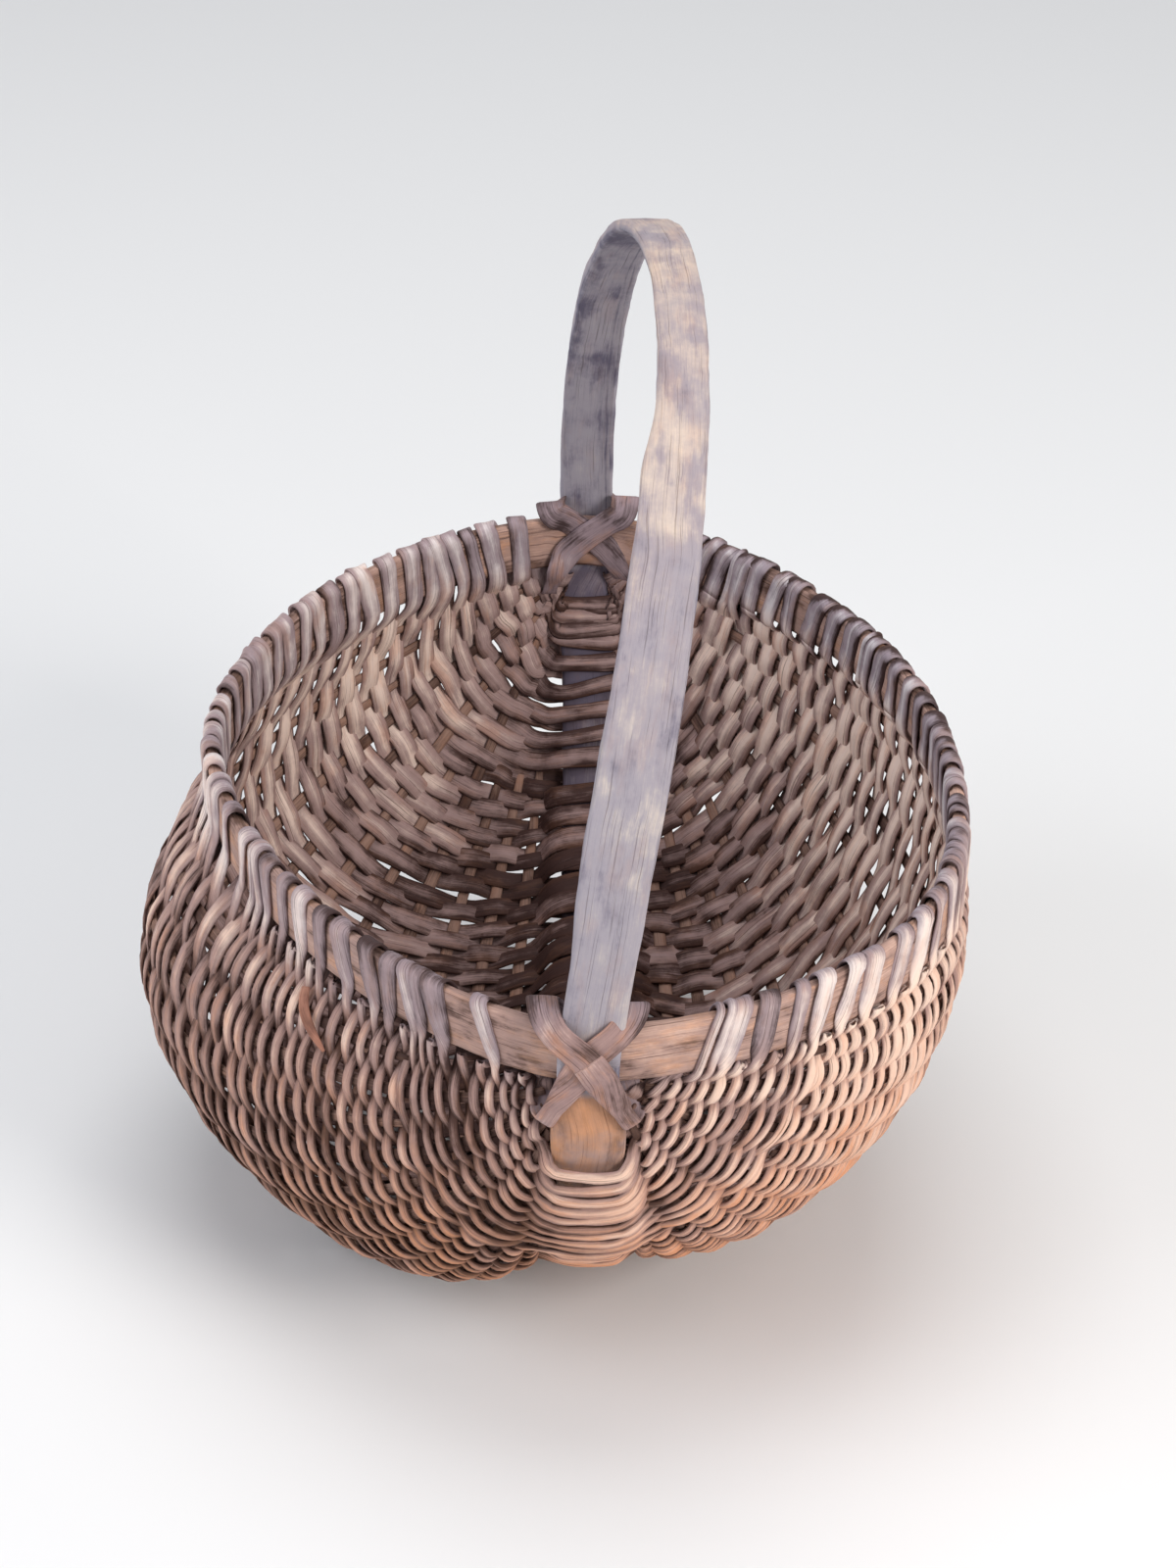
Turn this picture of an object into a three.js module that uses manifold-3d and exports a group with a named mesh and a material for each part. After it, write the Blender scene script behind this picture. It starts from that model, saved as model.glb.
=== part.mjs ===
// A splint gathering basket, in millimetres, +Z up.
// The origin is under the middle of the basket, on the plane that it stands on.
// Y runs along the basket from the front ear to the back ear, and X points to its right-hand side.
// Two hoops carry everything: the rim lies level, and the handle hoop stands up across it and runs on
// under the basket as its spine. Ribs run from ear to ear below the rim, one set on each side of the
// spine. Flat weavers pass in front of and behind the ribs in turn and hook over the rim.
// A pair of crossed lashings ties the two hoops together at each ear.
import * as THREE from "three";
import { mergeVertices } from "three/addons/utils/BufferGeometryUtils.js";
import Module from "manifold-3d";

const wasm = await Module();
wasm.setup();

// Clearances.
const seatGap = 0.4; // between a piece and what it is bound to
const weaveGap = 0.55; // between a weaver and a rib that it passes
const hoopGap = 0.7; // between the two hoops where they cross at the ears
const spineClearance = 1; // between the spine's edge and a weaver that turns up beside it

// Rim hoop, seen from above: an oval whose sides were bent by hand and never quite match.
const rimHalfLength = 175;
const rimHeight = 20;
const rimThickness = 4.5;
const rimTilt = 1.8; // degrees, the right-hand side lower
const earRoundness = 1.6; // 2 is a round ear, less is more pointed
const leftHalfWidth = 132;
const rightHalfWidth = 128;
const leftWidestAt = 0; // along the basket from its middle
const rightWidestAt = -20;

// Handle hoop above the rim. It leans to the right where the wood has warped.
const handleHeight = 192.5;
const handleWidth = 20;
const gripWidth = 16;
const gripTaper = 3; // a higher value keeps the narrow part closer to the top
const handleThickness = 4.5;
const handleBow = 28;
const bowEase = 1.5; // a higher value keeps the legs upright for longer above the ears
const handleTwist = 7.5; // moves the bow towards the front leg

// Body below the rim. The spine hangs between two lobes, and the lobes carry the basket.
const spineDepth = 149;
const spineFullness = 2.3;
const spineRoundness = 2.1;
const lobesBelowSpine = 21.5; // from the middle of the spine down to the foot plane
const leftBulge = 39.5; // out past the straight way down from the rim
const rightBulge = 10;
const bulgeTaper = 1.5; // how soon a bulge dies away towards the ears
const leftDeepestAt = -30; // along the basket from its middle
const rightDeepestAt = 40;
const footCut = 0.7; // the lowest weavers are worn flat by this much

// How full the curves of each side are: 2 is an ellipse, and more is squarer. front and back are the two
// halves of the rim, lobe is the bottom from end to end, and section is the body from rim to spine.
const leftFullness = { front: 1.6, back: 2.0, lobe: 2.6, section: 2.2 };
const rightFullness = { front: 2.5, back: 2.1, lobe: 1.15, section: 1.65 };

// Ribs, whittled thin at both ends. Every second rib down from the rim is a short one, which starts
// further from the ear, and so is the one beside the spine.
const ribsPerSide = 11;
const ribWidth = 5.5;
const ribThickness = 2.4;
const ribTipShare = 0.5; // width and thickness of a tip, as a share of the middle
const shortRibStart = 3; // a short rib starts behind this many weavers
const longRibReach = 0.3; // a long rib runs past the first weaver by this share of a weaver's spacing

// Weavers.
const weaverCount = 28;
const weaverThickness = 1.1;
const weaverCover = 0.9; // share of the spacing that a weaver covers
const earArc = 0.3; // radians of the hoop's turn that are left open at each ear
const hookEnd = 3; // a hook stops this far above the rim's lower edge

// Ear lashings.
const lashingWidth = 7.5;
const lashingThickness = 1.2;
const lashingSlant = 5; // height at the handle's edges, above and below the middle of the rim

// Fineness of the model.
const earSteps = 4; // corners of the hoops between an ear and the first weaver
const handleSteps = 36;
const halvings = 30; // when a place is found by halving a range
const tiny = 1e-3; // for a slope taken between two near points
const closestRibs = 0.65; // the share of the way to the next rib that a rib's width takes at most

// Colours of the weathered wood.
const handleColour = 0x8a7c70;
const rimColour = 0x9c7f66;
const ribColour = 0xb08d6a;
const weaverColour = 0x7d6c5e;
const lashingColour = 0x75655a;

// What follows from the driving dimensions.
const spineHalfLength = rimHalfLength + rimThickness / 2 + hoopGap + handleThickness / 2;
const spineEdge = handleWidth / 2 + spineClearance;
const bodyDepth = spineDepth + lobesBelowSpine; // from the middle of the rim to the foot plane
const stationStep = (Math.PI - 2 * earArc) / weaverCount;
const halfCover = (weaverCover * stationStep) / 2;
const lobeShape = 3 * Math.sqrt(3) / 2; // brings the peak of sin squared times cosine to 1
const bulgeShape = 16 / (3 * Math.sqrt(3)); // the same for sine times cosine cubed
const tiltSlope = Math.tan(THREE.MathUtils.degToRad(rimTilt));
const sides = [
  {
    name: "left",
    side: -1,
    halfWidth: leftHalfWidth,
    widestAt: leftWidestAt,
    bulge: leftBulge,
    deepestAt: leftDeepestAt,
    fullness: leftFullness,
    drop: 0,
  },
  {
    name: "right",
    side: 1,
    halfWidth: rightHalfWidth,
    widestAt: rightWidestAt,
    bulge: rightBulge,
    deepestAt: rightDeepestAt,
    fullness: rightFullness,
    drop: 0,
  },
];
const up = new THREE.Vector3(0, 0, 1);
const rightwards = new THREE.Vector3(1, 0, 0);

// Turn along the basket at weaver number n, where 0 is the front ear and pi the back ear.
// A whole number is the gap between two weavers, and a half is the middle of a weaver.
function turnAt(n) {
  return earArc + n * stationStep;
}

// A rounded hump that is 1 at the middle and 0 at -1 and 1.
function hump(u, fullness, roundness) {
  return Math.max(0, 1 - Math.abs(u) ** fullness) ** (1 / roundness);
}

// Half width of the rim on one side, at the share u of the half length.
function halfWidthAt(s, u) {
  const widest = s.widestAt / rimHalfLength;
  const reach = u < widest ? 1 + widest : 1 - widest;
  const fullness = u < widest ? s.fullness.front : s.fullness.back;
  return s.halfWidth * hump((u - widest) / reach, fullness, earRoundness);
}

// Middle of the rim hoop on one side.
function rimPoint(s, turn) {
  const u = -Math.cos(turn);
  const x = s.side * halfWidthAt(s, u);
  return new THREE.Vector3(x, u * rimHalfLength, -x * tiltSlope);
}

// Middle of the spine.
function spinePoint(turn) {
  const u = -Math.cos(turn);
  const z = -spineDepth * hump(u, spineFullness, spineRoundness);
  return new THREE.Vector3(0, u * spineHalfLength, z);
}

// Depth of a lobe below the plain section, before its drop is applied.
function lobeAt(s, u) {
  const deepest = s.deepestAt / rimHalfLength;
  const reach = u < deepest ? 1 + deepest : 1 - deepest;
  return hump((u - deepest) / reach, s.fullness.lobe, 1);
}

// The surface that the ribs lie in. The angle is 0 at the rim's lower edge and pi / 2 at the spine's side.
function bodyPoint(s, turn, angle) {
  const c = Math.max(0, Math.cos(angle));
  const n = Math.sin(angle);
  const across = c ** (2 / s.fullness.section);
  const down = n ** (2 / s.fullness.section);
  const rim = rimPoint(s, turn);
  const spine = spinePoint(turn);
  const width = Math.abs(rim.x);
  const bulge = s.bulge * bulgeShape * c ** 3 * n * (width / s.halfWidth) ** bulgeTaper;
  const lobe = s.drop * lobeShape * n * n * c * lobeAt(s, -Math.cos(turn));
  const rimEdge = rim.z - rimHeight / 2;
  return new THREE.Vector3(
    s.side * (spineEdge + (width - spineEdge) * across + bulge),
    THREE.MathUtils.lerp(rim.y, spine.y, n * n),
    THREE.MathUtils.lerp(rimEdge, spine.z, down) - lobe,
  );
}

// Outward normal of the body surface.
function bodyNormal(s, turn, angle) {
  const inner = Math.min(angle, Math.PI / 2 - tiny);
  const alongTurn = bodyPoint(s, turn + tiny, inner).sub(bodyPoint(s, turn - tiny, inner));
  const alongAngle = bodyPoint(s, turn, inner + tiny).sub(bodyPoint(s, turn, Math.max(0, inner - tiny)));
  return alongAngle.cross(alongTurn).multiplyScalar(s.side).normalize();
}

// Outward direction across a curve that lies in one plane, whose other direction is given.
function normalAcross(curve, turn, planeNormal) {
  const inner = THREE.MathUtils.clamp(turn, tiny, Math.PI - tiny);
  return curve(inner + tiny).sub(curve(inner - tiny)).cross(planeNormal).normalize();
}

function rimNormal(s, turn) {
  return normalAcross((t) => rimPoint(s, t), turn, up).multiplyScalar(s.side);
}

function spineNormal(turn) {
  return normalAcross(spinePoint, turn, rightwards);
}

// How far the middle of a curve stands proud of its chord across one weaver.
function rise(curve, turn) {
  const chordMiddle = curve(turn - halfCover).add(curve(turn + halfCover)).multiplyScalar(0.5);
  return curve(turn).distanceTo(chordMiddle);
}

function offset(point, direction, distance) {
  return point.clone().addScaledVector(direction, distance);
}

// A bar with four corners at each station, closed at both ends, or joined into a ring. Opposite faces are
// split along the same diagonal, so a thin bar keeps its thickness where it twists.
function sweep(stations, ring = false) {
  const corners = stations[0].length;
  const points = stations.flat();
  const index = [];
  const count = ring ? stations.length : stations.length - 1;
  for (let i = 0; i < count; i++) {
    const a = i * corners;
    const b = ((i + 1) % stations.length) * corners;
    for (let k = 0; k < corners; k++) {
      const next = (k + 1) % corners;
      if (k < corners / 2) index.push(a + k, a + next, b + next, a + k, b + next, b + k);
      else index.push(a + k, a + next, b + k, a + next, b + next, b + k);
    }
  }
  if (!ring) {
    const last = (stations.length - 1) * corners;
    for (let k = 1; k < corners - 1; k++) {
      index.push(0, k + 1, k);
      index.push(last, last + k, last + k + 1);
    }
  }
  const geometry = new THREE.BufferGeometry().setFromPoints(points);
  geometry.setIndex(index);
  return facingOut(geometry);
}

// Turns the faces round if they point inwards.
function facingOut(geometry) {
  const p = geometry.getAttribute("position");
  const index = geometry.getIndex();
  let volume = 0;
  const [a, b, c] = [new THREE.Vector3(), new THREE.Vector3(), new THREE.Vector3()];
  for (let i = 0; i < index.count; i += 3) {
    a.fromBufferAttribute(p, index.getX(i));
    b.fromBufferAttribute(p, index.getX(i + 1));
    c.fromBufferAttribute(p, index.getX(i + 2));
    volume += a.dot(b.cross(c));
  }
  if (volume < 0) geometry.setIndex(Array.from(index.array).reverse());
  return geometry;
}

// The four corners of a flat bar around a point.
function barSection(point, widthDirection, thicknessDirection, width, thickness) {
  const corners = [[-1, -1], [1, -1], [1, 1], [-1, 1]];
  return corners.map(([w, t]) =>
    offset(offset(point, widthDirection, (w * width) / 2), thicknessDirection, (t * thickness) / 2),
  );
}

// Turns at which the hoops have a corner: the gaps between weavers, and a few more up to each ear.
function hoopTurns() {
  const front = [];
  for (let i = 0; i < earSteps; i++) front.push((i * turnAt(0)) / earSteps);
  const middle = Array.from({ length: weaverCount + 1 }, (_, i) => turnAt(i));
  const back = front.map((t) => Math.PI - t).reverse();
  return [...front, ...middle, ...back];
}

function rimHoop() {
  const turns = hoopTurns();
  const [left, right] = sides;
  const section = (s, turn) =>
    barSection(rimPoint(s, turn), up, rimNormal(s, turn), rimHeight, rimThickness);
  const rightSide = turns.slice(0, -1).map((turn) => section(right, turn));
  const leftSide = turns.slice(1).reverse().map((turn) => section(left, turn));
  return sweep([...rightSide, ...leftSide], true);
}

// Middle of the handle above the rim, at the turn 0 over the front ear and pi over the back ear.
function handlePoint(turn) {
  return new THREE.Vector3(
    handleBow * Math.sin(turn) ** bowEase + handleTwist * Math.sin(2 * turn),
    -Math.cos(turn) * spineHalfLength,
    Math.sin(turn) * handleHeight,
  );
}

// How far the handle has leant sideways where it passes the rim's upper edge at an ear.
function handleLean(ear) {
  const turn = Math.asin(rimHeight / handleHeight);
  return handlePoint(Math.abs(ear - turn)).x;
}

function handleHoop() {
  const stations = hoopTurns().map((turn) =>
    barSection(spinePoint(turn), rightwards, spineNormal(turn), handleWidth, handleThickness),
  );
  for (let i = handleSteps - 1; i > 0; i--) {
    const turn = (i * Math.PI) / handleSteps;
    const along = handlePoint(turn + tiny).sub(handlePoint(turn - tiny)).normalize();
    const across = offset(rightwards, along, -along.x).normalize();
    const outward = across.clone().cross(along).normalize();
    const width = THREE.MathUtils.lerp(handleWidth, gripWidth, Math.sin(turn) ** gripTaper);
    stations.push(barSection(handlePoint(turn), across, outward, width, handleThickness));
  }
  return sweep(stations, true);
}

// Ribs are numbered down from the rim.
function ribAngle(number) {
  return (number * Math.PI) / 2 / (ribsPerSide + 1);
}

// Where a rib starts, counted in weavers from the front ear. The last long rib would find no room at the
// ears between its neighbour and the spine, so it is a short one too.
function ribStart(number) {
  const isShort = number % 2 === 1 || number >= ribsPerSide - 1;
  return isShort ? shortRibStart : -longRibReach;
}

// A rib's size as a share of its middle.
function ribTaper(number, turn) {
  const from = turnAt(ribStart(number));
  const to = turnAt(weaverCount - ribStart(number));
  const share = THREE.MathUtils.clamp((turn - from) / (to - from), 0, 1);
  return THREE.MathUtils.lerp(ribTipShare, 1, Math.sqrt(Math.sin(Math.PI * share)));
}

function ribPiece(s, number) {
  const start = ribStart(number);
  const places = [start];
  for (let n = Math.floor(start) + 1; n < weaverCount - start; n++) places.push(n);
  places.push(weaverCount - start);
  const angle = ribAngle(number);
  const stations = places.map(turnAt).map((turn) => {
    const along = bodyPoint(s, turn + tiny, angle).sub(bodyPoint(s, turn - tiny, angle)).normalize();
    const outward = bodyNormal(s, turn, angle);
    const across = along.cross(outward).normalize();
    const share = ribTaper(number, turn);
    return barSection(bodyPoint(s, turn, angle), across, outward, ribWidth * share, ribThickness * share);
  });
  return sweep(stations);
}

// The ribs of one side that a weaver crosses, from the rim down.
function crossedRibs(weaver) {
  const numbers = Array.from({ length: ribsPerSide }, (_, i) => i + 1);
  return numbers.filter((n) => ribStart(n) <= weaver && weaver + 1 <= weaverCount - ribStart(n));
}

// How far a weaver's middle stands off a rib's middle on one skin. It clears the rib's edges on its way
// through to the other skin, also where the body curves away from it.
function ribStandOff(s, turn, number, crossed, skin) {
  const place = crossed.indexOf(number);
  const neighbours = [
    place > 0 ? ribAngle(crossed[place - 1]) : 0,
    place < crossed.length - 1 ? ribAngle(crossed[place + 1]) : Math.PI / 2,
  ];
  const here = bodyPoint(s, turn, ribAngle(number));
  const normal = bodyNormal(s, turn, ribAngle(number));
  const share = ribTaper(number, turn);
  const clear = (ribThickness * share) / 2 + weaveGap + weaverThickness / 2;
  const needed = neighbours.map((angle) => {
    const step = bodyPoint(s, turn, angle).sub(here);
    const away = -skin * step.dot(normal);
    const edge = (ribWidth * share) / step.length();
    return (clear + (edge / 2) * away) / (1 - Math.min(closestRibs, edge));
  });
  return Math.max(clear, ...needed);
}

// A weaver's section: its two edges, each with a corner on the basket's inner and outer skin.
function weaverSection(turn, cornerAt, distance) {
  const half = weaverThickness / 2;
  const front = turn - halfCover;
  const back = turn + halfCover;
  return [
    cornerAt(front, distance - half),
    cornerAt(back, distance - half),
    cornerAt(back, distance + half),
    cornerAt(front, distance + half),
  ];
}

// The hook over the rim, from its tip to the rim's lower edge. face is 1 where the weaver comes up the
// rim's outer face, and -1 where it comes up the inner one.
function hookSections(s, turn, face) {
  const clear = seatGap + weaverThickness / 2;
  const across = rimThickness / 2 + clear;
  const bow = rise((t) => rimPoint(s, t), turn);
  const top = rimHeight / 2 + clear;
  const bottom = -rimHeight / 2;
  const route = [
    { level: bottom + hookEnd, face: -face, mitre: 0 },
    { level: top, face: -face, mitre: 1 },
    { level: top, face, mitre: 1 },
    { level: bottom - seatGap, face, mitre: 0 },
  ];
  return route.map((place) => {
    const distance = place.face > 0 ? across + bow : -across;
    // At a mitred corner the skin that faces away from the rim also lies higher.
    const level = (t, d) => place.level + place.mitre * place.face * (d - distance);
    const cornerAt = (t, d) => offset(offset(rimPoint(s, t), up, level(t, d)), rimNormal(s, t), d);
    const section = weaverSection(turn, cornerAt, distance);
    return place.face === face ? section : turnedOver(section);
  });
}

// The far side of a hook shows its other skin, so there the inner and outer corners trade places.
function turnedOver([a, b, c, d]) {
  return [d, c, b, a];
}

// One side of a weaver below the rim, from the first rib down to the last.
function ribSections(s, weaver, face) {
  const turn = turnAt(weaver + 0.5);
  const crossed = crossedRibs(weaver);
  return crossed.map((number, i) => {
    const angle = ribAngle(number);
    const skin = i % 2 ? face : -face;
    const bow = skin > 0 ? rise((t) => bodyPoint(s, t, angle), turn) : 0;
    const distance = skin * (ribStandOff(s, turn, number, crossed, skin) + bow);
    const cornerAt = (t, d) => offset(bodyPoint(s, t, angle), bodyNormal(s, t, angle), d);
    return weaverSection(turn, cornerAt, distance);
  });
}

// Where a weaver passes the spine, on its outer skin for 1 and its inner one for -1.
function spineSections(turn, skin) {
  const bow = skin > 0 ? rise(spinePoint, turn) : 0;
  const distance = skin * (handleThickness / 2 + seatGap + weaverThickness / 2 + bow);
  return [-spineEdge, spineEdge].map((x) => {
    const cornerAt = (t, d) => offset(offset(spinePoint(t), spineNormal(t), d), rightwards, x);
    return weaverSection(turn, cornerAt, distance);
  });
}

// Neighbouring weavers start on opposite faces of the rim.
function faceOf(weaver) {
  return weaver % 2 ? -1 : 1;
}

function weaverPiece(number) {
  const turn = turnAt(number + 0.5);
  const face = faceOf(number);
  const [left, right] = sides.map((s) => [...hookSections(s, turn, face), ...ribSections(s, number, face)]);
  const spineSkin = crossedRibs(number).length % 2 ? face : -face;
  return standing(sweep([...left, ...spineSections(turn, spineSkin), ...right.reverse()]));
}

// Lets a lobe down until its lowest weaver touches the foot plane.
function settleLobe(s) {
  const lowest = () => {
    let z = 0;
    for (let n = 0; n < weaverCount; n++) {
      for (const corner of ribSections(s, n, faceOf(n)).flat()) z = Math.min(z, corner.z);
    }
    return z;
  };
  let [shallow, deep] = [0, bodyDepth];
  for (let i = 0; i < halvings; i++) {
    s.drop = (shallow + deep) / 2;
    if (lowest() < -bodyDepth) deep = s.drop;
    else shallow = s.drop;
  }
}

// Lifts a piece from the rim's level to its height over the foot plane.
function standing(geometry) {
  return geometry.translate(0, 0, bodyDepth - footCut);
}

// The same piece with everything below the foot plane worn away.
function wornFlat(geometry) {
  geometry.computeBoundingBox();
  if (geometry.boundingBox.min.z >= 0) return geometry;
  const reach = 4 * rimHalfLength;
  const ground = new THREE.BoxGeometry(reach, reach, reach).translate(0, 0, -reach / 2);
  const cut = solidOf(geometry).subtract(solidOf(ground)).getMesh();
  const flat = new THREE.BufferGeometry();
  flat.setAttribute("position", new THREE.Float32BufferAttribute(cut.vertProperties, 3));
  return flat.setIndex(Array.from(cut.triVerts));
}

function solidOf(geometry) {
  const bare = geometry.clone();
  bare.deleteAttribute("normal");
  bare.deleteAttribute("uv");
  const merged = mergeVertices(bare);
  return new wasm.Manifold(
    new wasm.Mesh({
      numProp: 3,
      vertProperties: merged.getAttribute("position").array,
      triVerts: new Uint32Array(merged.getIndex().array),
    }),
  );
}

// The turn at which the rim has come far enough from the ear to clear the handle and a lashing beside it.
function lashingTurn(s) {
  const place = spineEdge + Math.abs(handleLean(0)) + lashingThickness + lashingWidth / 2;
  let [near, far] = [0, Math.PI / 2];
  for (let i = 0; i < halvings; i++) {
    const middle = (near + far) / 2;
    if (Math.abs(rimPoint(s, middle).x) < place) near = middle;
    else far = middle;
  }
  return near;
}

// The unit vector along a line, pointing to the basket's right.
function towardsRight(direction) {
  return direction.normalize().multiplyScalar(Math.sign(direction.x));
}

// A splint tied round both hoops at an ear. It rises across the handle towards the side s, goes over the
// rim there, and comes back down behind the rim to the other side. Layer 0 lies on the wood, layer 1 on
// the first splint. above is 1 over the middle of the rim and -1 under it, and face is 1 on the outside.
function lashingPiece(atBack, s, other, layer) {
  const placeOn = (side) => (atBack ? Math.PI - lashingTurn(side) : lashingTurn(side));
  const outwards = new THREE.Vector3(0, atBack ? 1 : -1, 0);
  const clear = seatGap + lashingThickness / 2 + layer * (lashingThickness + seatGap);
  const across = rimThickness / 2 + clear;
  const level = rimHeight / 2 + clear;
  const acrossHandle = new THREE.Vector3(Math.SQRT1_2, 0, -s.side * Math.SQRT1_2);
  const atRim = (side, face, above) => {
    const place = placeOn(side);
    const normal = rimNormal(side, place).multiplyScalar(face);
    const point = offset(offset(rimPoint(side, place), normal, across), up, above * level);
    const width = towardsRight(up.clone().cross(rimNormal(side, place)));
    return { point, width, normal: normal.addScaledVector(up, above).normalize() };
  };
  const atHandle = (side, above) => {
    const middle = outwards.clone().multiplyScalar(spineHalfLength + handleThickness / 2 + clear);
    const lean = Math.max(0, side.side * handleLean(atBack ? Math.PI : 0));
    const edge = side.side * (spineEdge + lashingThickness + seatGap + (above > 0 ? lean : 0));
    const point = middle.add(new THREE.Vector3(edge, 0, above * lashingSlant));
    return { point, width: acrossHandle, normal: outwards };
  };
  // Halfway along behind the rim, where the two splints of an ear cross.
  const behindRim = (from, to) => {
    const inwards = outwards.clone().negate();
    const point = offset(from.point.clone().lerp(to.point, 0.5), inwards, layer * seatGap);
    const width = towardsRight(to.point.clone().sub(from.point).cross(inwards));
    return { point, width, normal: inwards };
  };
  const overRim = atRim(s, -1, 1);
  const underRim = atRim(other, -1, -1);
  const route = [
    atRim(other, 1, -1),
    atHandle(other, -1),
    atHandle(s, 1),
    atRim(s, 1, 1),
    overRim,
    behindRim(overRim, underRim),
    underRim,
  ];
  const sections = route.map(({ point, width, normal }) =>
    barSection(point, width, normal, lashingWidth, lashingThickness),
  );
  return standing(sweep(sections, true));
}

function addPiece(group, name, geometry, colour) {
  const flat = geometry.index ? geometry.toNonIndexed() : geometry;
  flat.computeVertexNormals();
  const material = new THREE.MeshStandardMaterial({ color: colour, roughness: 0.8, metalness: 0 });
  const mesh = new THREE.Mesh(flat, material);
  mesh.name = name;
  group.add(mesh);
}

function twoDigits(number) {
  return String(number).padStart(2, "0");
}

sides.forEach(settleLobe);

const basket = new THREE.Group();
basket.name = "splint_gathering_basket";
addPiece(basket, "handle_hoop", standing(handleHoop()), handleColour);
addPiece(basket, "rim_hoop", standing(rimHoop()), rimColour);
for (const s of sides) {
  for (let n = 1; n <= ribsPerSide; n++) {
    addPiece(basket, `rib_${s.name}_${twoDigits(n)}`, standing(ribPiece(s, n)), ribColour);
  }
}
for (let n = 0; n < weaverCount; n++) {
  addPiece(basket, `weaver_${twoDigits(n + 1)}`, wornFlat(weaverPiece(n)), weaverColour);
}
const [left, right] = sides;
for (const atBack of [false, true]) {
  const ear = atBack ? "back" : "front";
  // The splint on top rises to the left at the front ear, and to the right at the back one.
  const [below, above] = atBack ? [left, right] : [right, left];
  addPiece(basket, `${ear}_lashing_under`, lashingPiece(atBack, below, above, 0), lashingColour);
  addPiece(basket, `${ear}_lashing_over`, lashingPiece(atBack, above, below, 1), lashingColour);
}

// The left-hand side bulges further out, so the pieces move over together until the origin is under the
// middle of the whole basket.
const middle = new THREE.Box3().setFromObject(basket).getCenter(new THREE.Vector3());
basket.children.forEach((piece) => piece.position.set(-middle.x, -middle.y, 0));

export default basket;
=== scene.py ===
"""Looks of a splint gathering basket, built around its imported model.

Sizes are in millimetres, as in the part's own source, and turn into metres when a mesh is made.
The weave is one long ash splint, row after row: each row runs from rim to rim across the ribs and the
spine, and at its end the splint wraps over the rim and comes back as the next row.
"""

import math

import bpy
import numpy as np
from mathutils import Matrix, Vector


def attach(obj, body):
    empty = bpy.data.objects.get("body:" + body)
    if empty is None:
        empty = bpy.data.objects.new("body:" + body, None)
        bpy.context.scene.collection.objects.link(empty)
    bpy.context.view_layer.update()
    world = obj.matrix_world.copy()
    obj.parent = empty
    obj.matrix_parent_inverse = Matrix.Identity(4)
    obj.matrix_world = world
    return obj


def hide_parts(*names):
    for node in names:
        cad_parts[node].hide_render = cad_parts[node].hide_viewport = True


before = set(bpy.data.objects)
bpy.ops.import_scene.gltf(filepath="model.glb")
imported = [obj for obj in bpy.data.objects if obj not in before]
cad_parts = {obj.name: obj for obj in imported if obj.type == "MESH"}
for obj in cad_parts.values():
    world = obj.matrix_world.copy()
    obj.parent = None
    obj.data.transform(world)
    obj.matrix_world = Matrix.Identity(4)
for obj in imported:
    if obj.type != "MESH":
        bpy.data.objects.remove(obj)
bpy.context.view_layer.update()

MM = 0.001

# ---------------------------------------------------------------- the basket's own curves
# These sizes and curves are those of the part's source. A turn runs round the basket from 0 at the front
# ear to pi at the back one, u from -1 to 1 between the same two, and an angle from the rim down the side.

RIM_HALF_LENGTH = 175.0
RIM_HEIGHT = 20.0
RIM_THICKNESS = 4.5
RIM_TILT = math.radians(1.8)
EAR_ROUNDNESS = 1.6
HANDLE_HEIGHT = 192.5
HANDLE_WIDTH = 20.0
GRIP_WIDTH = 16.0
GRIP_TAPER = 3.0
HANDLE_THICKNESS = 4.5
HANDLE_BOW = 28.0
BOW_EASE = 1.5
HANDLE_TWIST = 7.5
SPINE_HALF_LENGTH = 180.2
SPINE_DEPTH = 149.0
SPINE_FULLNESS = 2.3
SPINE_ROUNDNESS = 2.1
SPINE_EDGE = 11.0  # from the spine's middle to where the sides start
LOWEST_BAND = 5.0  # over the hoop's lowest corner
LIFT = 169.8  # the middle of the rim stands this far over the ground
BULGE_TAPER = 1.5
RIBS_PER_SIDE = 11
RIB_WIDTH = 5.5
RIB_TIP_SHARE = 0.5
SHORT_RIB_START = 3  # weavers in front of a short rib's tip
LONG_RIB_REACH = 0.3  # weavers that a long rib runs past the first one
WEAVER_COUNT = 28
EAR_ARC = 0.3  # turn between an ear and the first weaver's edge
TINY = 1e-3  # a small step of a turn or an angle, for finding directions

# These make 1 of the greatest reach of a lobe and of a bulge.
LOBE_SHAPE = 3 * math.sqrt(3) / 2
BULGE_SHAPE = 16 / (3 * math.sqrt(3))
STATION_STEP = (math.pi - 2 * EAR_ARC) / WEAVER_COUNT

LEFT = {
    "name": "left", "side": -1, "half_width": 132.0, "widest_at": 0.0, "bulge": 39.5,
    "deepest_at": -30.0, "drop": 32.079, "front": 1.6, "back": 2.0, "lobe": 2.6, "section": 2.2,
}
RIGHT = {
    "name": "right", "side": 1, "half_width": 128.0, "widest_at": -20.0, "bulge": 10.0,
    "deepest_at": 40.0, "drop": 36.202, "front": 2.5, "back": 2.1, "lobe": 1.15, "section": 1.65,
}

UP = np.array([0.0, 0.0, 1.0])
RIGHTWARDS = np.array([1.0, 0.0, 0.0])


def middle_of_spine():
    """The x of the spine, in mm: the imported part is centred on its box, so the spine stands off 0."""
    corners = np.array([v.co[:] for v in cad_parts["handle_hoop"].data.vertices]) / MM
    low = corners[corners[:, 2] < corners[:, 2].min() + LOWEST_BAND]
    return float((low[:, 0].min() + low[:, 0].max()) / 2)


SHIFT = np.array([middle_of_spine(), 0.0, LIFT])


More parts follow.
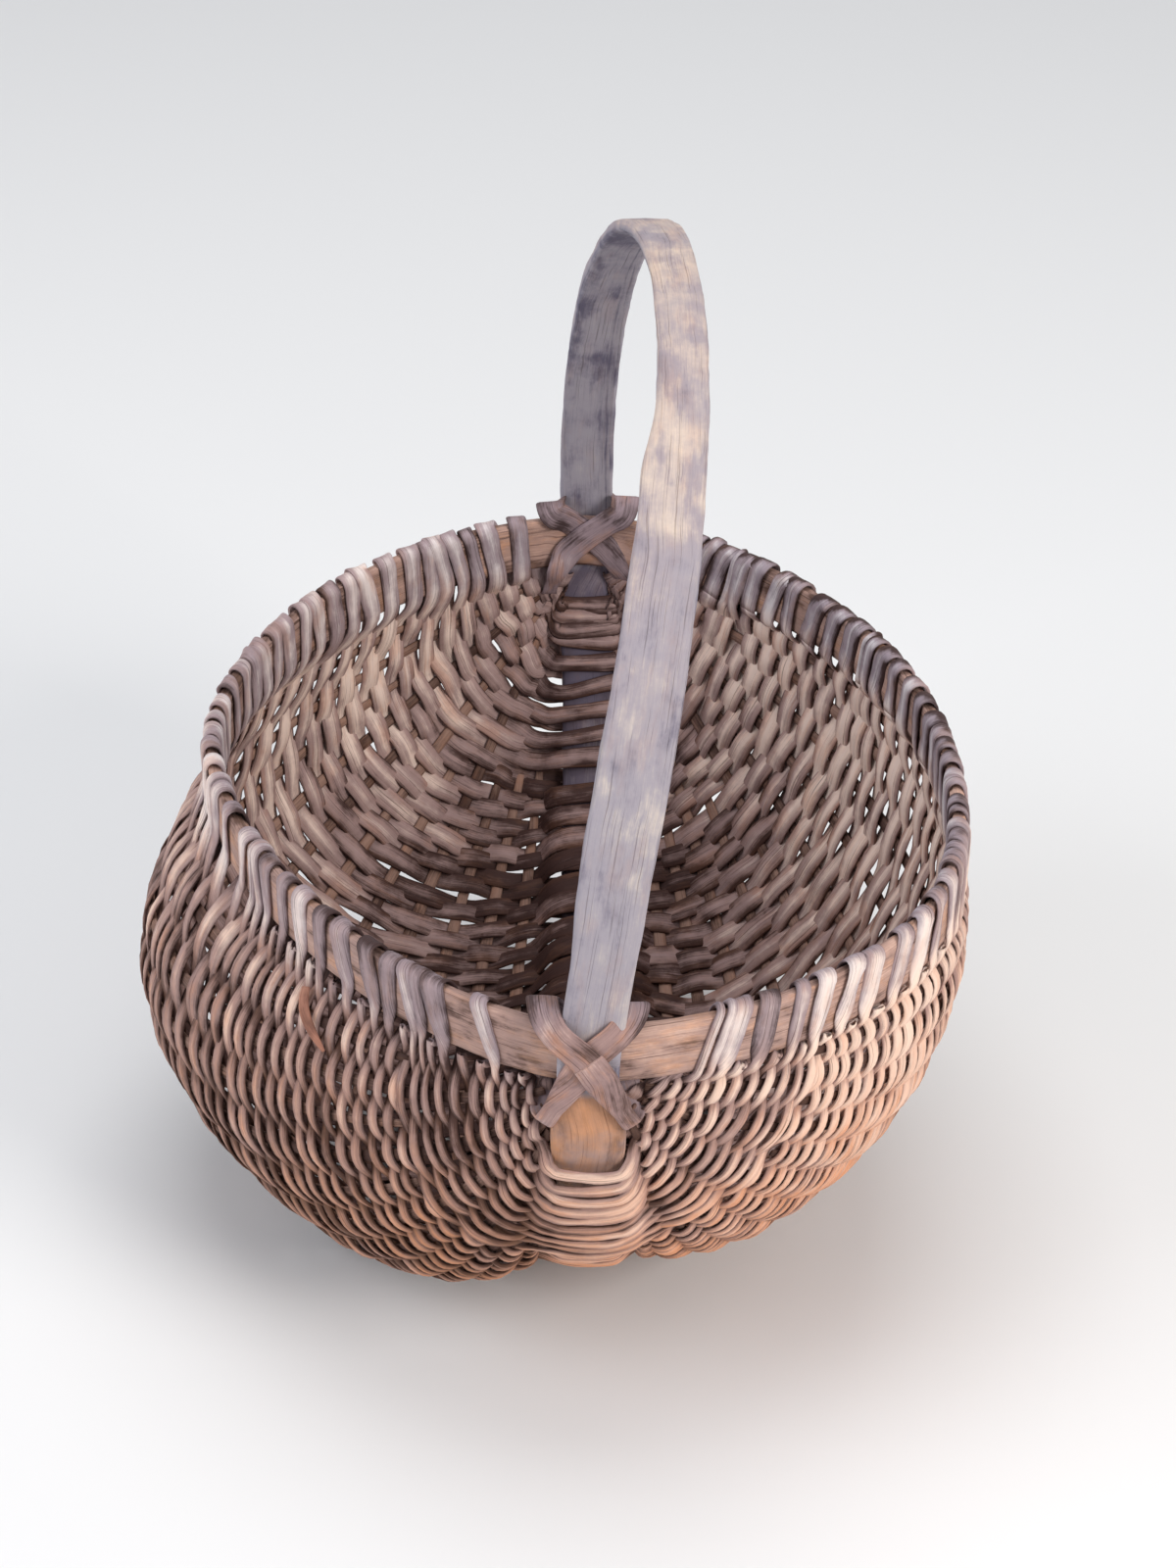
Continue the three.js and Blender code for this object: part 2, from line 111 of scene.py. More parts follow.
def unit(v):
    return v / np.maximum(np.linalg.norm(v, axis=-1, keepdims=True), 1e-12)


def hump(u, fullness, roundness):
    """1 in the middle and 0 at both ends."""
    return np.maximum(0, 1 - np.abs(u) ** fullness) ** (1 / roundness)


def turn_at(weaver):
    """The turn of a place that is counted in weavers from the front."""
    return EAR_ARC + np.asarray(weaver, dtype=float) * STATION_STEP


def half_width_at(s, u):
    """Half the rim's width on the side s, which is LEFT or RIGHT."""
    widest = s["widest_at"] / RIM_HALF_LENGTH
    ahead = u < widest
    reach = np.where(ahead, 1 + widest, 1 - widest)
    fullness = np.where(ahead, s["front"], s["back"])
    return s["half_width"] * hump((u - widest) / reach, fullness, EAR_ROUNDNESS)


def stacked(x, y, z):
    return np.stack(np.broadcast_arrays(x, y, z), axis=-1)


def rim_point(s, turn):
    u = -np.cos(turn)
    x = s["side"] * half_width_at(s, u)
    return stacked(x, u * RIM_HALF_LENGTH, -x * math.tan(RIM_TILT))


def spine_point(turn):
    u = -np.cos(turn)
    return stacked(0.0, u * SPINE_HALF_LENGTH, -SPINE_DEPTH * hump(u, SPINE_FULLNESS, SPINE_ROUNDNESS))


def handle_point(turn):
    n = np.maximum(np.sin(turn), 0)
    return stacked(
        HANDLE_BOW * n ** BOW_EASE + HANDLE_TWIST * np.sin(2 * turn),
        -np.cos(turn) * SPINE_HALF_LENGTH,
        n * HANDLE_HEIGHT,
    )


def body_point(s, turn, angle):
    """The surface that the ribs lie in: angle 0 is the rim's lower edge, a right angle the spine's side."""
    c = np.maximum(np.cos(angle), 0)
    n = np.sin(angle)
    across = c ** (2 / s["section"])
    down = n ** (2 / s["section"])
    rim, spine = rim_point(s, turn), spine_point(turn)
    width = np.abs(rim[..., 0])
    bulge = s["bulge"] * BULGE_SHAPE * c ** 3 * n * (width / s["half_width"]) ** BULGE_TAPER
    deepest = s["deepest_at"] / RIM_HALF_LENGTH
    u = -np.cos(turn)
    reach = np.where(u < deepest, 1 + deepest, 1 - deepest)
    lobe = s["drop"] * LOBE_SHAPE * n * n * c * hump((u - deepest) / reach, s["lobe"], 1)
    edge = rim[..., 2] - RIM_HEIGHT / 2
    return stacked(
        s["side"] * (SPINE_EDGE + (width - SPINE_EDGE) * across + bulge),
        rim[..., 1] + (spine[..., 1] - rim[..., 1]) * n * n,
        edge + (spine[..., 2] - edge) * down - lobe,
    )


def body_normal(s, turn, angle):
    inner = np.clip(angle, TINY, math.pi / 2 - TINY)
    along_turn = body_point(s, turn + TINY, inner) - body_point(s, turn - TINY, inner)
    along_angle = body_point(s, turn, inner + TINY) - body_point(s, turn, inner - TINY)
    return unit(np.cross(along_angle, along_turn)) * s["side"]


def rim_normal(s, turn):
    inner = np.clip(turn, TINY, math.pi - TINY)
    along = rim_point(s, inner + TINY) - rim_point(s, inner - TINY)
    return unit(np.cross(along, UP)) * s["side"]


def spine_normal(turn):
    inner = np.clip(turn, TINY, math.pi - TINY)
    return unit(np.cross(spine_point(inner + TINY) - spine_point(inner - TINY), RIGHTWARDS))


def rib_angle(number):
    return number * math.pi / 2 / (RIBS_PER_SIDE + 1)


def rib_start(number):
    """The weaver at which a rib starts. Every second one is short, and so are the lowest two."""
    return SHORT_RIB_START if number % 2 == 1 or number >= RIBS_PER_SIDE - 1 else -LONG_RIB_REACH


def rib_taper(number, turn):
    """The share of its full width that a rib has."""
    first, last = turn_at(rib_start(number)), turn_at(WEAVER_COUNT - rib_start(number))
    share = np.clip((turn - first) / (last - first), 0, 1)
    return RIB_TIP_SHARE + (1 - RIB_TIP_SHARE) * np.sqrt(np.sin(math.pi * share))


# ---------------------------------------------------------------- shaping by hand


def ripple(rng, length, spacing):
    """An uneven line along a length, about -1 to 1, that turns softly every spacing mm."""
    knots = int(length.max() / spacing) + 4
    values = rng.uniform(-1, 1, knots)
    place = length / spacing + 1
    whole = np.floor(place).astype(int)
    share = place - whole
    share = share * share * (3 - 2 * share)
    return values[whole] * (1 - share) + values[whole + 1] * share


def rippled(rng, length, parts, start=0.0):
    """Adds up uneven lines, each given by how far it goes and by how often it turns, in mm."""
    for reach, spacing in parts:
        start = start + reach * ripple(rng, length, spacing)
    return start


def share_between(value, start, end):
    """How far a value has come from start to end: 0 up to the first and 1 past the second."""
    return np.clip((value - start) / (end - start), 0, 1)


def eased(share):
    """An eased step: 0 before the share 0 and 1 past the share 1."""
    share = np.clip(share, 0, 1)
    return share * share * (3 - 2 * share)


def travelled(points):
    """How far along a line each of its points lies, in mm."""
    steps = np.linalg.norm(np.diff(points, axis=0), axis=1)
    return np.concatenate([[0], np.cumsum(steps)])


def softened(values, passes, ring=False):
    """Evens out a line of points, which keeps its ends unless it is a ring."""
    for _ in range(passes):
        if ring:
            values = (np.roll(values, 1, axis=0) + 2 * values + np.roll(values, -1, axis=0)) / 4
        else:
            values = values.copy()
            values[1:-1] = (values[:-2] + 2 * values[1:-1] + values[2:]) / 4
    return values


def squared_up(points, width_way, face_way, ring=False):
    """The directions across a strip and off its face, square to the way it runs."""
    if ring:
        along = np.roll(points, -1, axis=0) - np.roll(points, 1, axis=0)
    else:
        along = np.gradient(points, axis=0)
    along = unit(along)
    width_way = unit(width_way - np.sum(width_way * along, axis=1, keepdims=True) * along)
    face = np.cross(along, width_way)
    face = face * np.where(np.sum(face * face_way, axis=1, keepdims=True) < 0, -1, 1)
    return width_way, unit(face)


def twisted(width_way, face_way, angle):
    """Turns a strip's two directions about the way it runs."""
    c, n = np.cos(angle)[:, None], np.sin(angle)[:, None]
    return width_way * c + face_way * n, face_way * c - width_way * n


# A split ash splint: flat faces, with edges rounded by use. Shares of its width and thickness.
SPLINT_SHAPE = np.array([
    (0.0, -0.5), (0.43, -0.44), (0.5, -0.05), (0.465, 0.28), (0.37, 0.45),
    (0.0, 0.52), (-0.37, 0.45), (-0.465, 0.28), (-0.5, -0.05), (-0.43, -0.44),
])
SPLINT_CORNERS = len(SPLINT_SHAPE)
CROWN_STOPS = (0.55, 0.0, -0.55)  # shares of a bar's half width at which its broad faces have a corner


def bar_shape(width, thickness, round_off, crown_out=0.0, crown_in=0.0):
    """A flat bar's outline with rounded corners and crowned broad faces, as mm either side of its middle."""
    outline = []
    for cx, cy, start in ((1, -1, -90), (1, 1, 0), (-1, 1, 90), (-1, -1, 180)):
        for a in (start, start + 45, start + 90):
            outline.append((
                cx * (width / 2 - round_off) + round_off * math.cos(math.radians(a)),
                cy * (thickness / 2 - round_off) + round_off * math.sin(math.radians(a)),
            ))
        if cx * cy > 0:
            for share in CROWN_STOPS:
                outline.append((cx * share * (width / 2 - round_off), cy * thickness / 2))
    outline = np.array(outline)
    crown = np.where(outline[:, 1] > 0, crown_out, crown_in)
    outline[:, 1] += np.sign(outline[:, 1]) * crown * np.maximum(0, 1 - (2 * outline[:, 0] / width) ** 2)
    return outline


def swept(points, width_way, face_way, shapes, ring=False):
    """Corners and faces of a strip: shapes gives each section's outline, as mm across and off the face."""
    corners = points[:, None] + width_way[:, None] * shapes[..., 0:1] + face_way[:, None] * shapes[..., 1:2]
    count, around = corners.shape[:2]
    i = np.arange(count if ring else count - 1)[:, None]
    k = np.arange(around)[None, :]
    nxt, right = (i + 1) % count, (k + 1) % around
    faces = np.stack([i * around + k, i * around + right, nxt * around + right, nxt * around + k], axis=-1)
    faces = [list(f) for f in faces.reshape(-1, 4).tolist()]
    if not ring:
        faces.append(list(range(around))[::-1])
        faces.append([(count - 1) * around + j for j in range(around)])
    return corners.reshape(-1, 3), faces


def outline_length(shapes):
    """How far round the outline each corner lies, in mm."""
    steps = np.linalg.norm(np.roll(shapes, -1, axis=1) - shapes, axis=2)
    return np.cumsum(steps, axis=1) - steps


def made_piece(name, corners, faces, material, nodes, grain, tone, light_and_bleach, heart=0.0):
    """One piece of the basket as a mesh. grain runs along and round the strip in mm, tone is the shade of
    its own wood, light_and_bleach says how pale it is painted, by bleaching and by painted light and shade,
    and heart how brown it is, or under 0 how grey."""
    mesh = bpy.data.meshes.new(name)
    mesh.from_pydata(((corners + SHIFT) * MM).tolist(), [], faces)
    mesh.validate()
    # Faces are turned out where the strip was swept the other way round.
    count = len(mesh.polygons)
    normals, centres, areas = np.empty((count, 3)), np.empty((count, 3)), np.empty((count, 1))
    for label, values in (("normal", normals), ("center", centres), ("area", areas)):
        mesh.polygons.foreach_get(label, values.ravel())
    if (normals * centres * areas).sum() < 0:
        mesh.flip_normals()
    mesh.shade_smooth()
    grain_values = mesh.attributes.new("grain", "FLOAT_VECTOR", "POINT").data
    grain_values.foreach_set("vector", grain.astype(np.float32).ravel())
    for label, values in (("tone", tone), ("light_and_bleach", light_and_bleach), ("heart", heart)):
        values = np.broadcast_to(np.asarray(values, dtype=np.float32), len(corners))
        mesh.attributes.new(label, "FLOAT", "POINT").data.foreach_set("value", np.ascontiguousarray(values))
    mesh.materials.append(material)
    piece = bpy.data.objects.new(name, mesh)
    bpy.context.scene.collection.objects.link(piece)
    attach(piece, "root")
    if nodes:
        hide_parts(*nodes)


def grain_of(points, shapes, seed):
    """Where each corner lies along and round its strip. The seed gives each piece marks of its own."""
    along = travelled(points)
    around = outline_length(shapes)
    return np.stack(np.broadcast_arrays(along[:, None], around, float(seed)), axis=-1).reshape(-1, 3)


# ---------------------------------------------------------------- finishes


class Bench:
    """A node tree on the bench: adds nodes, sets their values and joins them up."""

    def __init__(self, tree):
        self.tree = tree

    def add(self, kind, settings=None, **inputs):
        """Inputs go by name, with _ for a space, or by number, such as i0."""
        node = self.tree.nodes.new(kind)
        for key, value in (settings or {}).items():
            setattr(node, key, value)
        for key, value in inputs.items():
            numbered = key[0] == "i" and key[1:].isdigit()
            self.join(value, node.inputs[int(key[1:]) if numbered else key.replace("_", " ")])
        return node

    def join(self, value, socket):
        if isinstance(value, bpy.types.NodeSocket):
            self.tree.links.new(value, socket)
        else:
            socket.default_value = value

    def maths(self, operation, a, b=0.0, c=0.0, clamp=False):
        node = self.add("ShaderNodeMath", {"operation": operation, "use_clamp": clamp}, i0=a, i1=b, i2=c)
        return node.outputs[0]

    def between(self, value, low, high, to_low=0.0, to_high=1.0):
        node = self.add("ShaderNodeMapRange", {"interpolation_type": "SMOOTHSTEP"},
                        i0=value, i1=low, i2=high, i3=to_low, i4=to_high)
        return node.outputs[0]

    def mixed(self, share, a, b, way="MIX"):
        node = self.add("ShaderNodeMix", {"data_type": "RGBA", "blend_type": way}, i0=share, i6=a, i7=b)
        return node.outputs[2]

    def noise(self, vector, scale, detail=4.0, rough=0.6):
        inputs = {"Vector": vector, "Scale": scale, "Detail": detail, "Roughness": rough}
        return self.add("ShaderNodeTexNoise", None, **inputs).outputs[0]

    def tinted(self, colour, tint):
        return self.mixed(1.0, colour, tint, "MULTIPLY")

    def stretched(self, vector, stretch):
        return self.add("ShaderNodeMapping", None, Vector=vector, Scale=stretch).outputs[0]


# How each kind of mark is stretched: along the strip, round it, and from one strip to the next.
FIBRE_STRETCH = (0.045, 1.1, 1.0)
CHECK_STRETCH = (0.02, 1.7, 1.0)
STAIN_STRETCH = (0.05, 0.13, 7.0)
SOOT_STRETCH = (0.035, 0.09, 3.0)
# Marks that don't follow the strip: how fine they are, and how strong the small ones are.
PATCH_FINENESS = 34.0
BLOTCH_FINENESS = 95.0
BLOTCH_STRENGTH = 0.45
BLOTCH_HEIGHT = 0.35
FIBRE_HEIGHT = 0.9
# Brown wood in its dark and its pale places, wood gone grey, and the dark inside a check.
BROWN_DARK = (0.3, 0.3, 0.3, 1)
BROWN_PALE = (1.15, 1.1, 1.05, 1)
GREY_TINT = (0.83, 1.02, 1.26, 1)
CHECK_TINT = (0.32, 0.27, 0.25, 1)


def weathered_wood_group():
    """Old split wood: long fibres, dark checks between them, grey weather patches, and the paleness that the
    light_and_bleach attribute gives, which is bleaching and painted light and shade together.
    """
    group = bpy.data.node_groups.new("weathered_wood", "ShaderNodeTree")
    for name, kind, start in (
        ("Dark", "NodeSocketColor", (0.1, 0.08, 0.07, 1)),
        ("Middle", "NodeSocketColor", (0.3, 0.25, 0.2, 1)),
        ("Pale", "NodeSocketColor", (0.6, 0.5, 0.4, 1)),
        ("Warm", "NodeSocketColor", (0.5, 0.3, 0.15, 1)),
        ("Fibre", "NodeSocketFloat", 0.5),
        ("Patches", "NodeSocketFloat", 0.5),
        ("Checks", "NodeSocketFloat", 0.5),
        ("Warmth", "NodeSocketFloat", 0.3),
        ("Soot", "NodeSocketFloat", 0.2),
    ):
        group.interface.new_socket(name, in_out="INPUT", socket_type=kind).default_value = start
    group.interface.new_socket("Color", in_out="OUTPUT", socket_type="NodeSocketColor")
    for name in ("Roughness", "Height"):
        group.interface.new_socket(name, in_out="OUTPUT", socket_type="NodeSocketFloat")
    b = Bench(group)
    given = b.add("NodeGroupInput").outputs
    grain = b.add("ShaderNodeAttribute", {"attribute_name": "grain"}).outputs["Vector"]
    tone, light_and_bleach, heart = (b.add("ShaderNodeAttribute", {"attribute_name": label}).outputs["Fac"]
                        for label in ("tone", "light_and_bleach", "heart"))
    place = b.add("ShaderNodeTexCoord").outputs["Object"]
    fibre = b.noise(b.stretched(grain, FIBRE_STRETCH), 1.6, 6.0, 0.7)
    check = b.noise(b.stretched(grain, CHECK_STRETCH), 1.3, 3.0, 0.55)
    patch = b.noise(place, PATCH_FINENESS, 5.0, 0.62)
    blotch = b.noise(place, BLOTCH_FINENESS, 4.0, 0.6)
    stain = b.noise(b.stretched(grain, STAIN_STRETCH), 1.0, 4.0, 0.62)
    soot = b.noise(b.stretched(grain, SOOT_STRETCH), 1.0, 5.0, 0.6)

    # How pale the wood is at each place, painted light and shade included.
    value = b.maths("ADD", light_and_bleach, tone)
    for mark, strength in ((fibre, given["Fibre"]), (patch, given["Patches"]), (blotch, BLOTCH_STRENGTH)):
        value = b.maths("MULTIPLY_ADD", b.maths("SUBTRACT", mark, 0.5), strength, value)
    value = b.maths("SUBTRACT", value, b.maths("MULTIPLY", b.between(soot, 0.46, 0.66), given["Soot"]))
    colour = b.mixed(b.between(value, 0.05, 0.5), given["Dark"], given["Middle"])
    colour = b.mixed(b.between(value, 0.48, 1.0), colour, given["Pale"])

    stained = b.maths("MULTIPLY", b.between(stain, 0.48, 0.68), given["Warmth"])
    brown = b.maths("MULTIPLY", b.maths("MAXIMUM", heart, 0.0), b.between(patch, 0.3, 0.6, 0.45, 1.0))
    brown_wood = b.tinted(given["Warm"], b.mixed(b.between(value, 0.0, 0.9), BROWN_DARK, BROWN_PALE))
    colour = b.mixed(b.maths("ADD", stained, brown, clamp=True), colour, brown_wood)
    grey = b.maths("MULTIPLY", heart, -1.0, clamp=True)
    colour = b.mixed(grey, colour, b.tinted(colour, GREY_TINT))
    split = b.maths("MULTIPLY", b.between(check, 0.6, 0.68), given["Checks"])
    colour = b.mixed(split, colour, b.tinted(colour, CHECK_TINT))

    out = b.add("NodeGroupOutput")
    b.join(colour, out.inputs["Color"])
    b.join(b.between(fibre, 0.25, 0.75, 0.62, 0.86), out.inputs["Roughness"])
    height = b.maths("MULTIPLY_ADD", split, -FIBRE_HEIGHT, b.maths("MULTIPLY", fibre, FIBRE_HEIGHT))
    b.join(b.maths("MULTIPLY_ADD", blotch, BLOTCH_HEIGHT, height), out.inputs["Height"])
    return group


WEATHERED_WOOD = weathered_wood_group()


def shade(red, green, blue):
    """A colour as a maker reads it off the wood, 0 to 255, turned into the light that Blender mixes."""
    return tuple(((c / 255 + 0.055) / 1.055) ** 2.4 for c in (red, green, blue)) + (1.0,)


WOOD_GLOSS = 0.25
BUMP_STRENGTH = 0.7


def wood_finish(name, dark, middle, pale, warm, fibre, patches, checks, warmth, soot, relief=0.25):
    """Old wood from dark to pale, with a warm brown under the grey. relief is its marks' height in mm."""
    material = bpy.data.materials.new(name)
    material.use_nodes = True
    material.node_tree.nodes.clear()
    b = Bench(material.node_tree)
    wood = b.add("ShaderNodeGroup", {"node_tree": WEATHERED_WOOD}, Dark=shade(*dark), Middle=shade(*middle),
                 Pale=shade(*pale), Warm=shade(*warm), Fibre=fibre, Patches=patches, Checks=checks,
                 Warmth=warmth, Soot=soot)
    bump = b.add("ShaderNodeBump", None, Strength=BUMP_STRENGTH, Distance=relief * MM,
                 Height=wood.outputs["Height"])
    shader = b.add("ShaderNodeBsdfPrincipled", None, Base_Color=wood.outputs["Color"],
                   Roughness=wood.outputs["Roughness"], Normal=bump.outputs[0])
    shader.inputs["Specular IOR Level"].default_value = WOOD_GLOSS
    out = b.add("ShaderNodeOutputMaterial")
    b.join(shader.outputs[0], out.inputs[0])
    return material


SPLINT_WOOD = wood_finish(
    "weathered_splint", (66, 44, 40), (168, 139, 133), (244, 216, 198), (206, 146, 112),
    fibre=0.75, patches=0.6, checks=0.75, warmth=0.3, soot=0.2)
HANDLE_WOOD = wood_finish(
    "handle_oak", (98, 93, 112), (160, 154, 163), (222, 209, 194), (196, 144, 110),
    fibre=0.45, patches=0.9, checks=0.5, warmth=0.12, soot=0.24)
RIM_WOOD = wood_finish(
    "rim_oak", (84, 62, 58), (168, 141, 135), (226, 198, 186), (212, 162, 132),
    fibre=0.8, patches=0.9, checks=0.7, warmth=0.5, soot=0.4)
RIB_WOOD = wood_finish(
    "whittled_rib", (70, 48, 42), (156, 124, 110), (214, 180, 158), (190, 130, 94),
    fibre=0.7, patches=0.6, checks=0.5, warmth=0.3, soot=0.2, relief=0.2)
RAW_WOOD = wood_finish(
    "raw_broken_wood", (92, 58, 48), (164, 116, 98), (214, 168, 144), (178, 124, 104),
    fibre=0.8, patches=0.9, checks=0.6, warmth=0.3, soot=0.3)
LASHING_WOOD = wood_finish(
    "lashing_splint", (70, 52, 50), (154, 130, 130), (226, 200, 190), (204, 146, 112),
    fibre=0.8, patches=0.8, checks=0.8, warmth=0.5, soot=0.3)


# ---------------------------------------------------------------- hoops

EDGE_ROUND = 1.3
EDGE_WANDER = ((0.4, 32), (0.25, 13), (0.1, 4))  # how far a riven edge wanders, and how often, in mm
FACE_WANDER = 0.4  # share of that by which a broad face wanders
RING_FADE = 30.0  # mm from a ring's start over which its unevenness dies away, so that its ends meet
SPINE_STEPS, HANDLE_STEPS, RIM_STEPS = 190, 170, 220
RIM_CROWNS = (0.3, 0.2)  # mm that the middle of its outer and its inner face stands proud of their edges
CROWN_OUT, CROWN_IN = 0.4, 0.2  # the same of the handle
SPINE_CROWN_OUT, SPINE_CROWN_IN = 1.7, 2.6  # and of the spine's
SPINE_SWELL = 4.0  # mm wider just under each ear
SWELL_END, SWELL_EASE = -54.0, 20.0
LEG_STEP = 3.2  # mm that the front leg is wider on its left from here down
LEG_STEP_TURN, LEG_STEP_EASE = 1.17, 0.16  # the turn of the handle at which it gets so, and how softly
LEG_FOOT_TURN, LEG_FOOT_EASE = 0.12, 0.3  # and where it ends at the ear
BELOW_RIM = -8.0  # mm from which the hoop is the spine, left rounder like the stick that it was split from
ROUNDING_DEPTH = 14.0
UNDER_LASHING = -12.0  # below this the spine's wood is brown
BROWNER_GRIP = (90.0, 180.0)  # from here up the handle gets browner, where hands have held it
HOOP_SHADES = ((0.1, 40),)  # how far the wood's own shade goes, and how often it changes, in mm
RIM_TONE, RIM_BROWN = 0.05, 0.3
RIM_SUN_REACH = 130.0  # mm to the right over which the rim gets paler
HANDLE_SEED, RIM_SEED = 11, 12


def hoop(name, points, width_way, face_way, widths, thickness, crowns, material, node, seed, tone,
         light_and_bleach, heart):
    """A riven bar bent to a ring. crowns are those of its outer and its inner face in mm, and
    light_and_bleach and heart say how its painted light and shade, with its bleaching, and its brown run over
    its corners."""
    rng = np.random.default_rng(seed)
    crowns_out, crowns_in = (np.broadcast_to(c, len(points)) for c in crowns)
    along = travelled(points)
    end = along.max()
    fade = np.minimum(1, np.minimum(along, end - along) / RING_FADE)
    shapes = np.stack([bar_shape(width, thickness, EDGE_ROUND, crown_out, crown_in)
                       for width, crown_out, crown_in in zip(widths, crowns_out, crowns_in)])
    # Riven wood is never quite even: each edge wanders a little by itself.
    for k in range(shapes.shape[1]):
        push = rippled(rng, along, EDGE_WANDER) * fade
        shapes[:, k, 0] += push * np.sign(shapes[:, k, 0])
        shapes[:, k, 1] += FACE_WANDER * push * np.sign(shapes[:, k, 1])
    width_way, face_way = squared_up(points, width_way, face_way, ring=True)
    corners, faces = swept(points, width_way, face_way, shapes, ring=True)
    around = shapes.shape[1]
    tones = np.repeat(tone + rippled(rng, along, HOOP_SHADES) * fade, around)
    out_face = np.where(shapes[..., 1] > 0, 1.0, 0.0).reshape(-1)
    made_piece(name, corners, faces, material, [node], grain_of(points, shapes, seed), tones,
               light_and_bleach(corners, out_face), heart(corners, out_face))


def handle_hoop():
    """The handle over the basket and the spine under it, in one ring."""
    low = np.linspace(0, math.pi, SPINE_STEPS)
    high = np.linspace(math.pi, 0, HANDLE_STEPS)[1:-1]
    below, above = spine_point(low), handle_point(high)
    points = np.concatenate([below, above])
    along = unit(np.roll(points, -1, axis=0) - np.roll(points, 1, axis=0))
    width_way = np.broadcast_to(RIGHTWARDS, points.shape)
    face_way = np.concatenate([spine_normal(low), -np.cross(along[len(low):], RIGHTWARDS)])
    middle = points.mean(axis=0)
    face_way = face_way * np.where(np.sum(face_way * (points - middle), axis=1, keepdims=True) < 0, -1, 1)
    widths = np.concatenate([
        np.full(len(low), HANDLE_WIDTH),
        HANDLE_WIDTH + (GRIP_WIDTH - HANDLE_WIDTH) * np.maximum(np.sin(high), 0) ** GRIP_TAPER,
    ])
    points = softened(points, 2, ring=True)
    above_foot = eased((high - LEG_FOOT_TURN) / LEG_FOOT_EASE)
    wider = LEG_STEP * eased((LEG_STEP_TURN - high) / LEG_STEP_EASE) * above_foot
    widths[len(low):] += wider
    points[len(low):, 0] -= wider / 2

    # Painted light and shade, with some bleaching: the hoop's outer face is painted paler than its inner one,
    # the handle more so higher up, and under the lashing the spine's inner face is painted dark.
    def light_and_bleach(corners, out_face):
        handle = 0.38 + out_face * (0.08 + 0.22 * share_between(corners[:, 2], 0, HANDLE_HEIGHT))
        return np.where(corners[:, 2] < UNDER_LASHING, 0.1 + 0.4 * out_face, handle)

    def heart(corners, out_face):
        handle = out_face * (0.04 + 0.14 * share_between(corners[:, 2], *BROWNER_GRIP))
        return np.where(corners[:, 2] < UNDER_LASHING, 0.2 + 0.75 * out_face, handle)

    round_below = np.clip((BELOW_RIM - points[:, 2]) / ROUNDING_DEPTH, 0, 1)
    swell = eased((BELOW_RIM - points[:, 2]) / SWELL_EASE)
    widths = widths + SPINE_SWELL * swell * eased((points[:, 2] - SWELL_END) / SWELL_EASE)
    crowns = (CROWN_OUT + (SPINE_CROWN_OUT - CROWN_OUT) * round_below,
              CROWN_IN + (SPINE_CROWN_IN - CROWN_IN) * round_below)
    hoop("hoop_handle", points, width_way, face_way, widths, HANDLE_THICKNESS, crowns,
         HANDLE_WOOD, "handle_hoop", HANDLE_SEED, 0.0, light_and_bleach, heart)


def rim_hoop():
    """The rim: the right-hand half from the front ear to the back one, and the left-hand half back again."""
    turns = np.linspace(0, math.pi, RIM_STEPS)
    there, back = turns[:-1], turns[::-1][:-1]
    points = np.concatenate([rim_point(RIGHT, there), rim_point(LEFT, back)])
    face_way = np.concatenate([rim_normal(RIGHT, there), rim_normal(LEFT, back)])
    points = softened(points, 2, ring=True)

    # Painted light and shade, with some bleaching: the rim's outer face is painted paler than its inner one,
    # and the whole rim paler towards its right-hand side.
    def light_and_bleach(corners, out_face):
        return 0.42 + 0.12 * out_face + 0.06 * corners[:, 0] / RIM_SUN_REACH

    def heart(corners, out_face):
        return RIM_BROWN

    hoop("hoop_rim", points, np.broadcast_to(UP, points.shape), face_way, np.full(len(points), RIM_HEIGHT),
         RIM_THICKNESS, RIM_CROWNS, RIM_WOOD, "rim_hoop", RIM_SEED, RIM_TONE, light_and_bleach, heart)


# ---------------------------------------------------------------- ribs

# A rib is whittled from a split stick: a flattened oval with knife facets.
RIB_SHAPE = np.array([(math.cos(math.radians(a)), math.sin(math.radians(a))) for a in range(0, 360, 40)])
RIB_STATIONS = 110
RIB_HALF_THICK = 1.05  # a whittled rib is rounder than the flat bar of the part
RIB_UNEVEN, RIB_THICK_UNEVEN, RIB_FACETS = ((0.06, 18),), ((0.07, 11),), (0.07, 26)
RIB_TONE, RIB_SHADES = (-0.1, 0.14), ((0.12, 50),)
RIB_SEEDS = {"left": 100, "right": 140}
RIB_PAINTED_SHADE = (0.16, 0.36)  # painted shade: the outer side, deep between the splints, is painted darker than the inner one
EAR_REACH = 1.35  # weavers that a long rib runs past the first one, in among the ear's splints


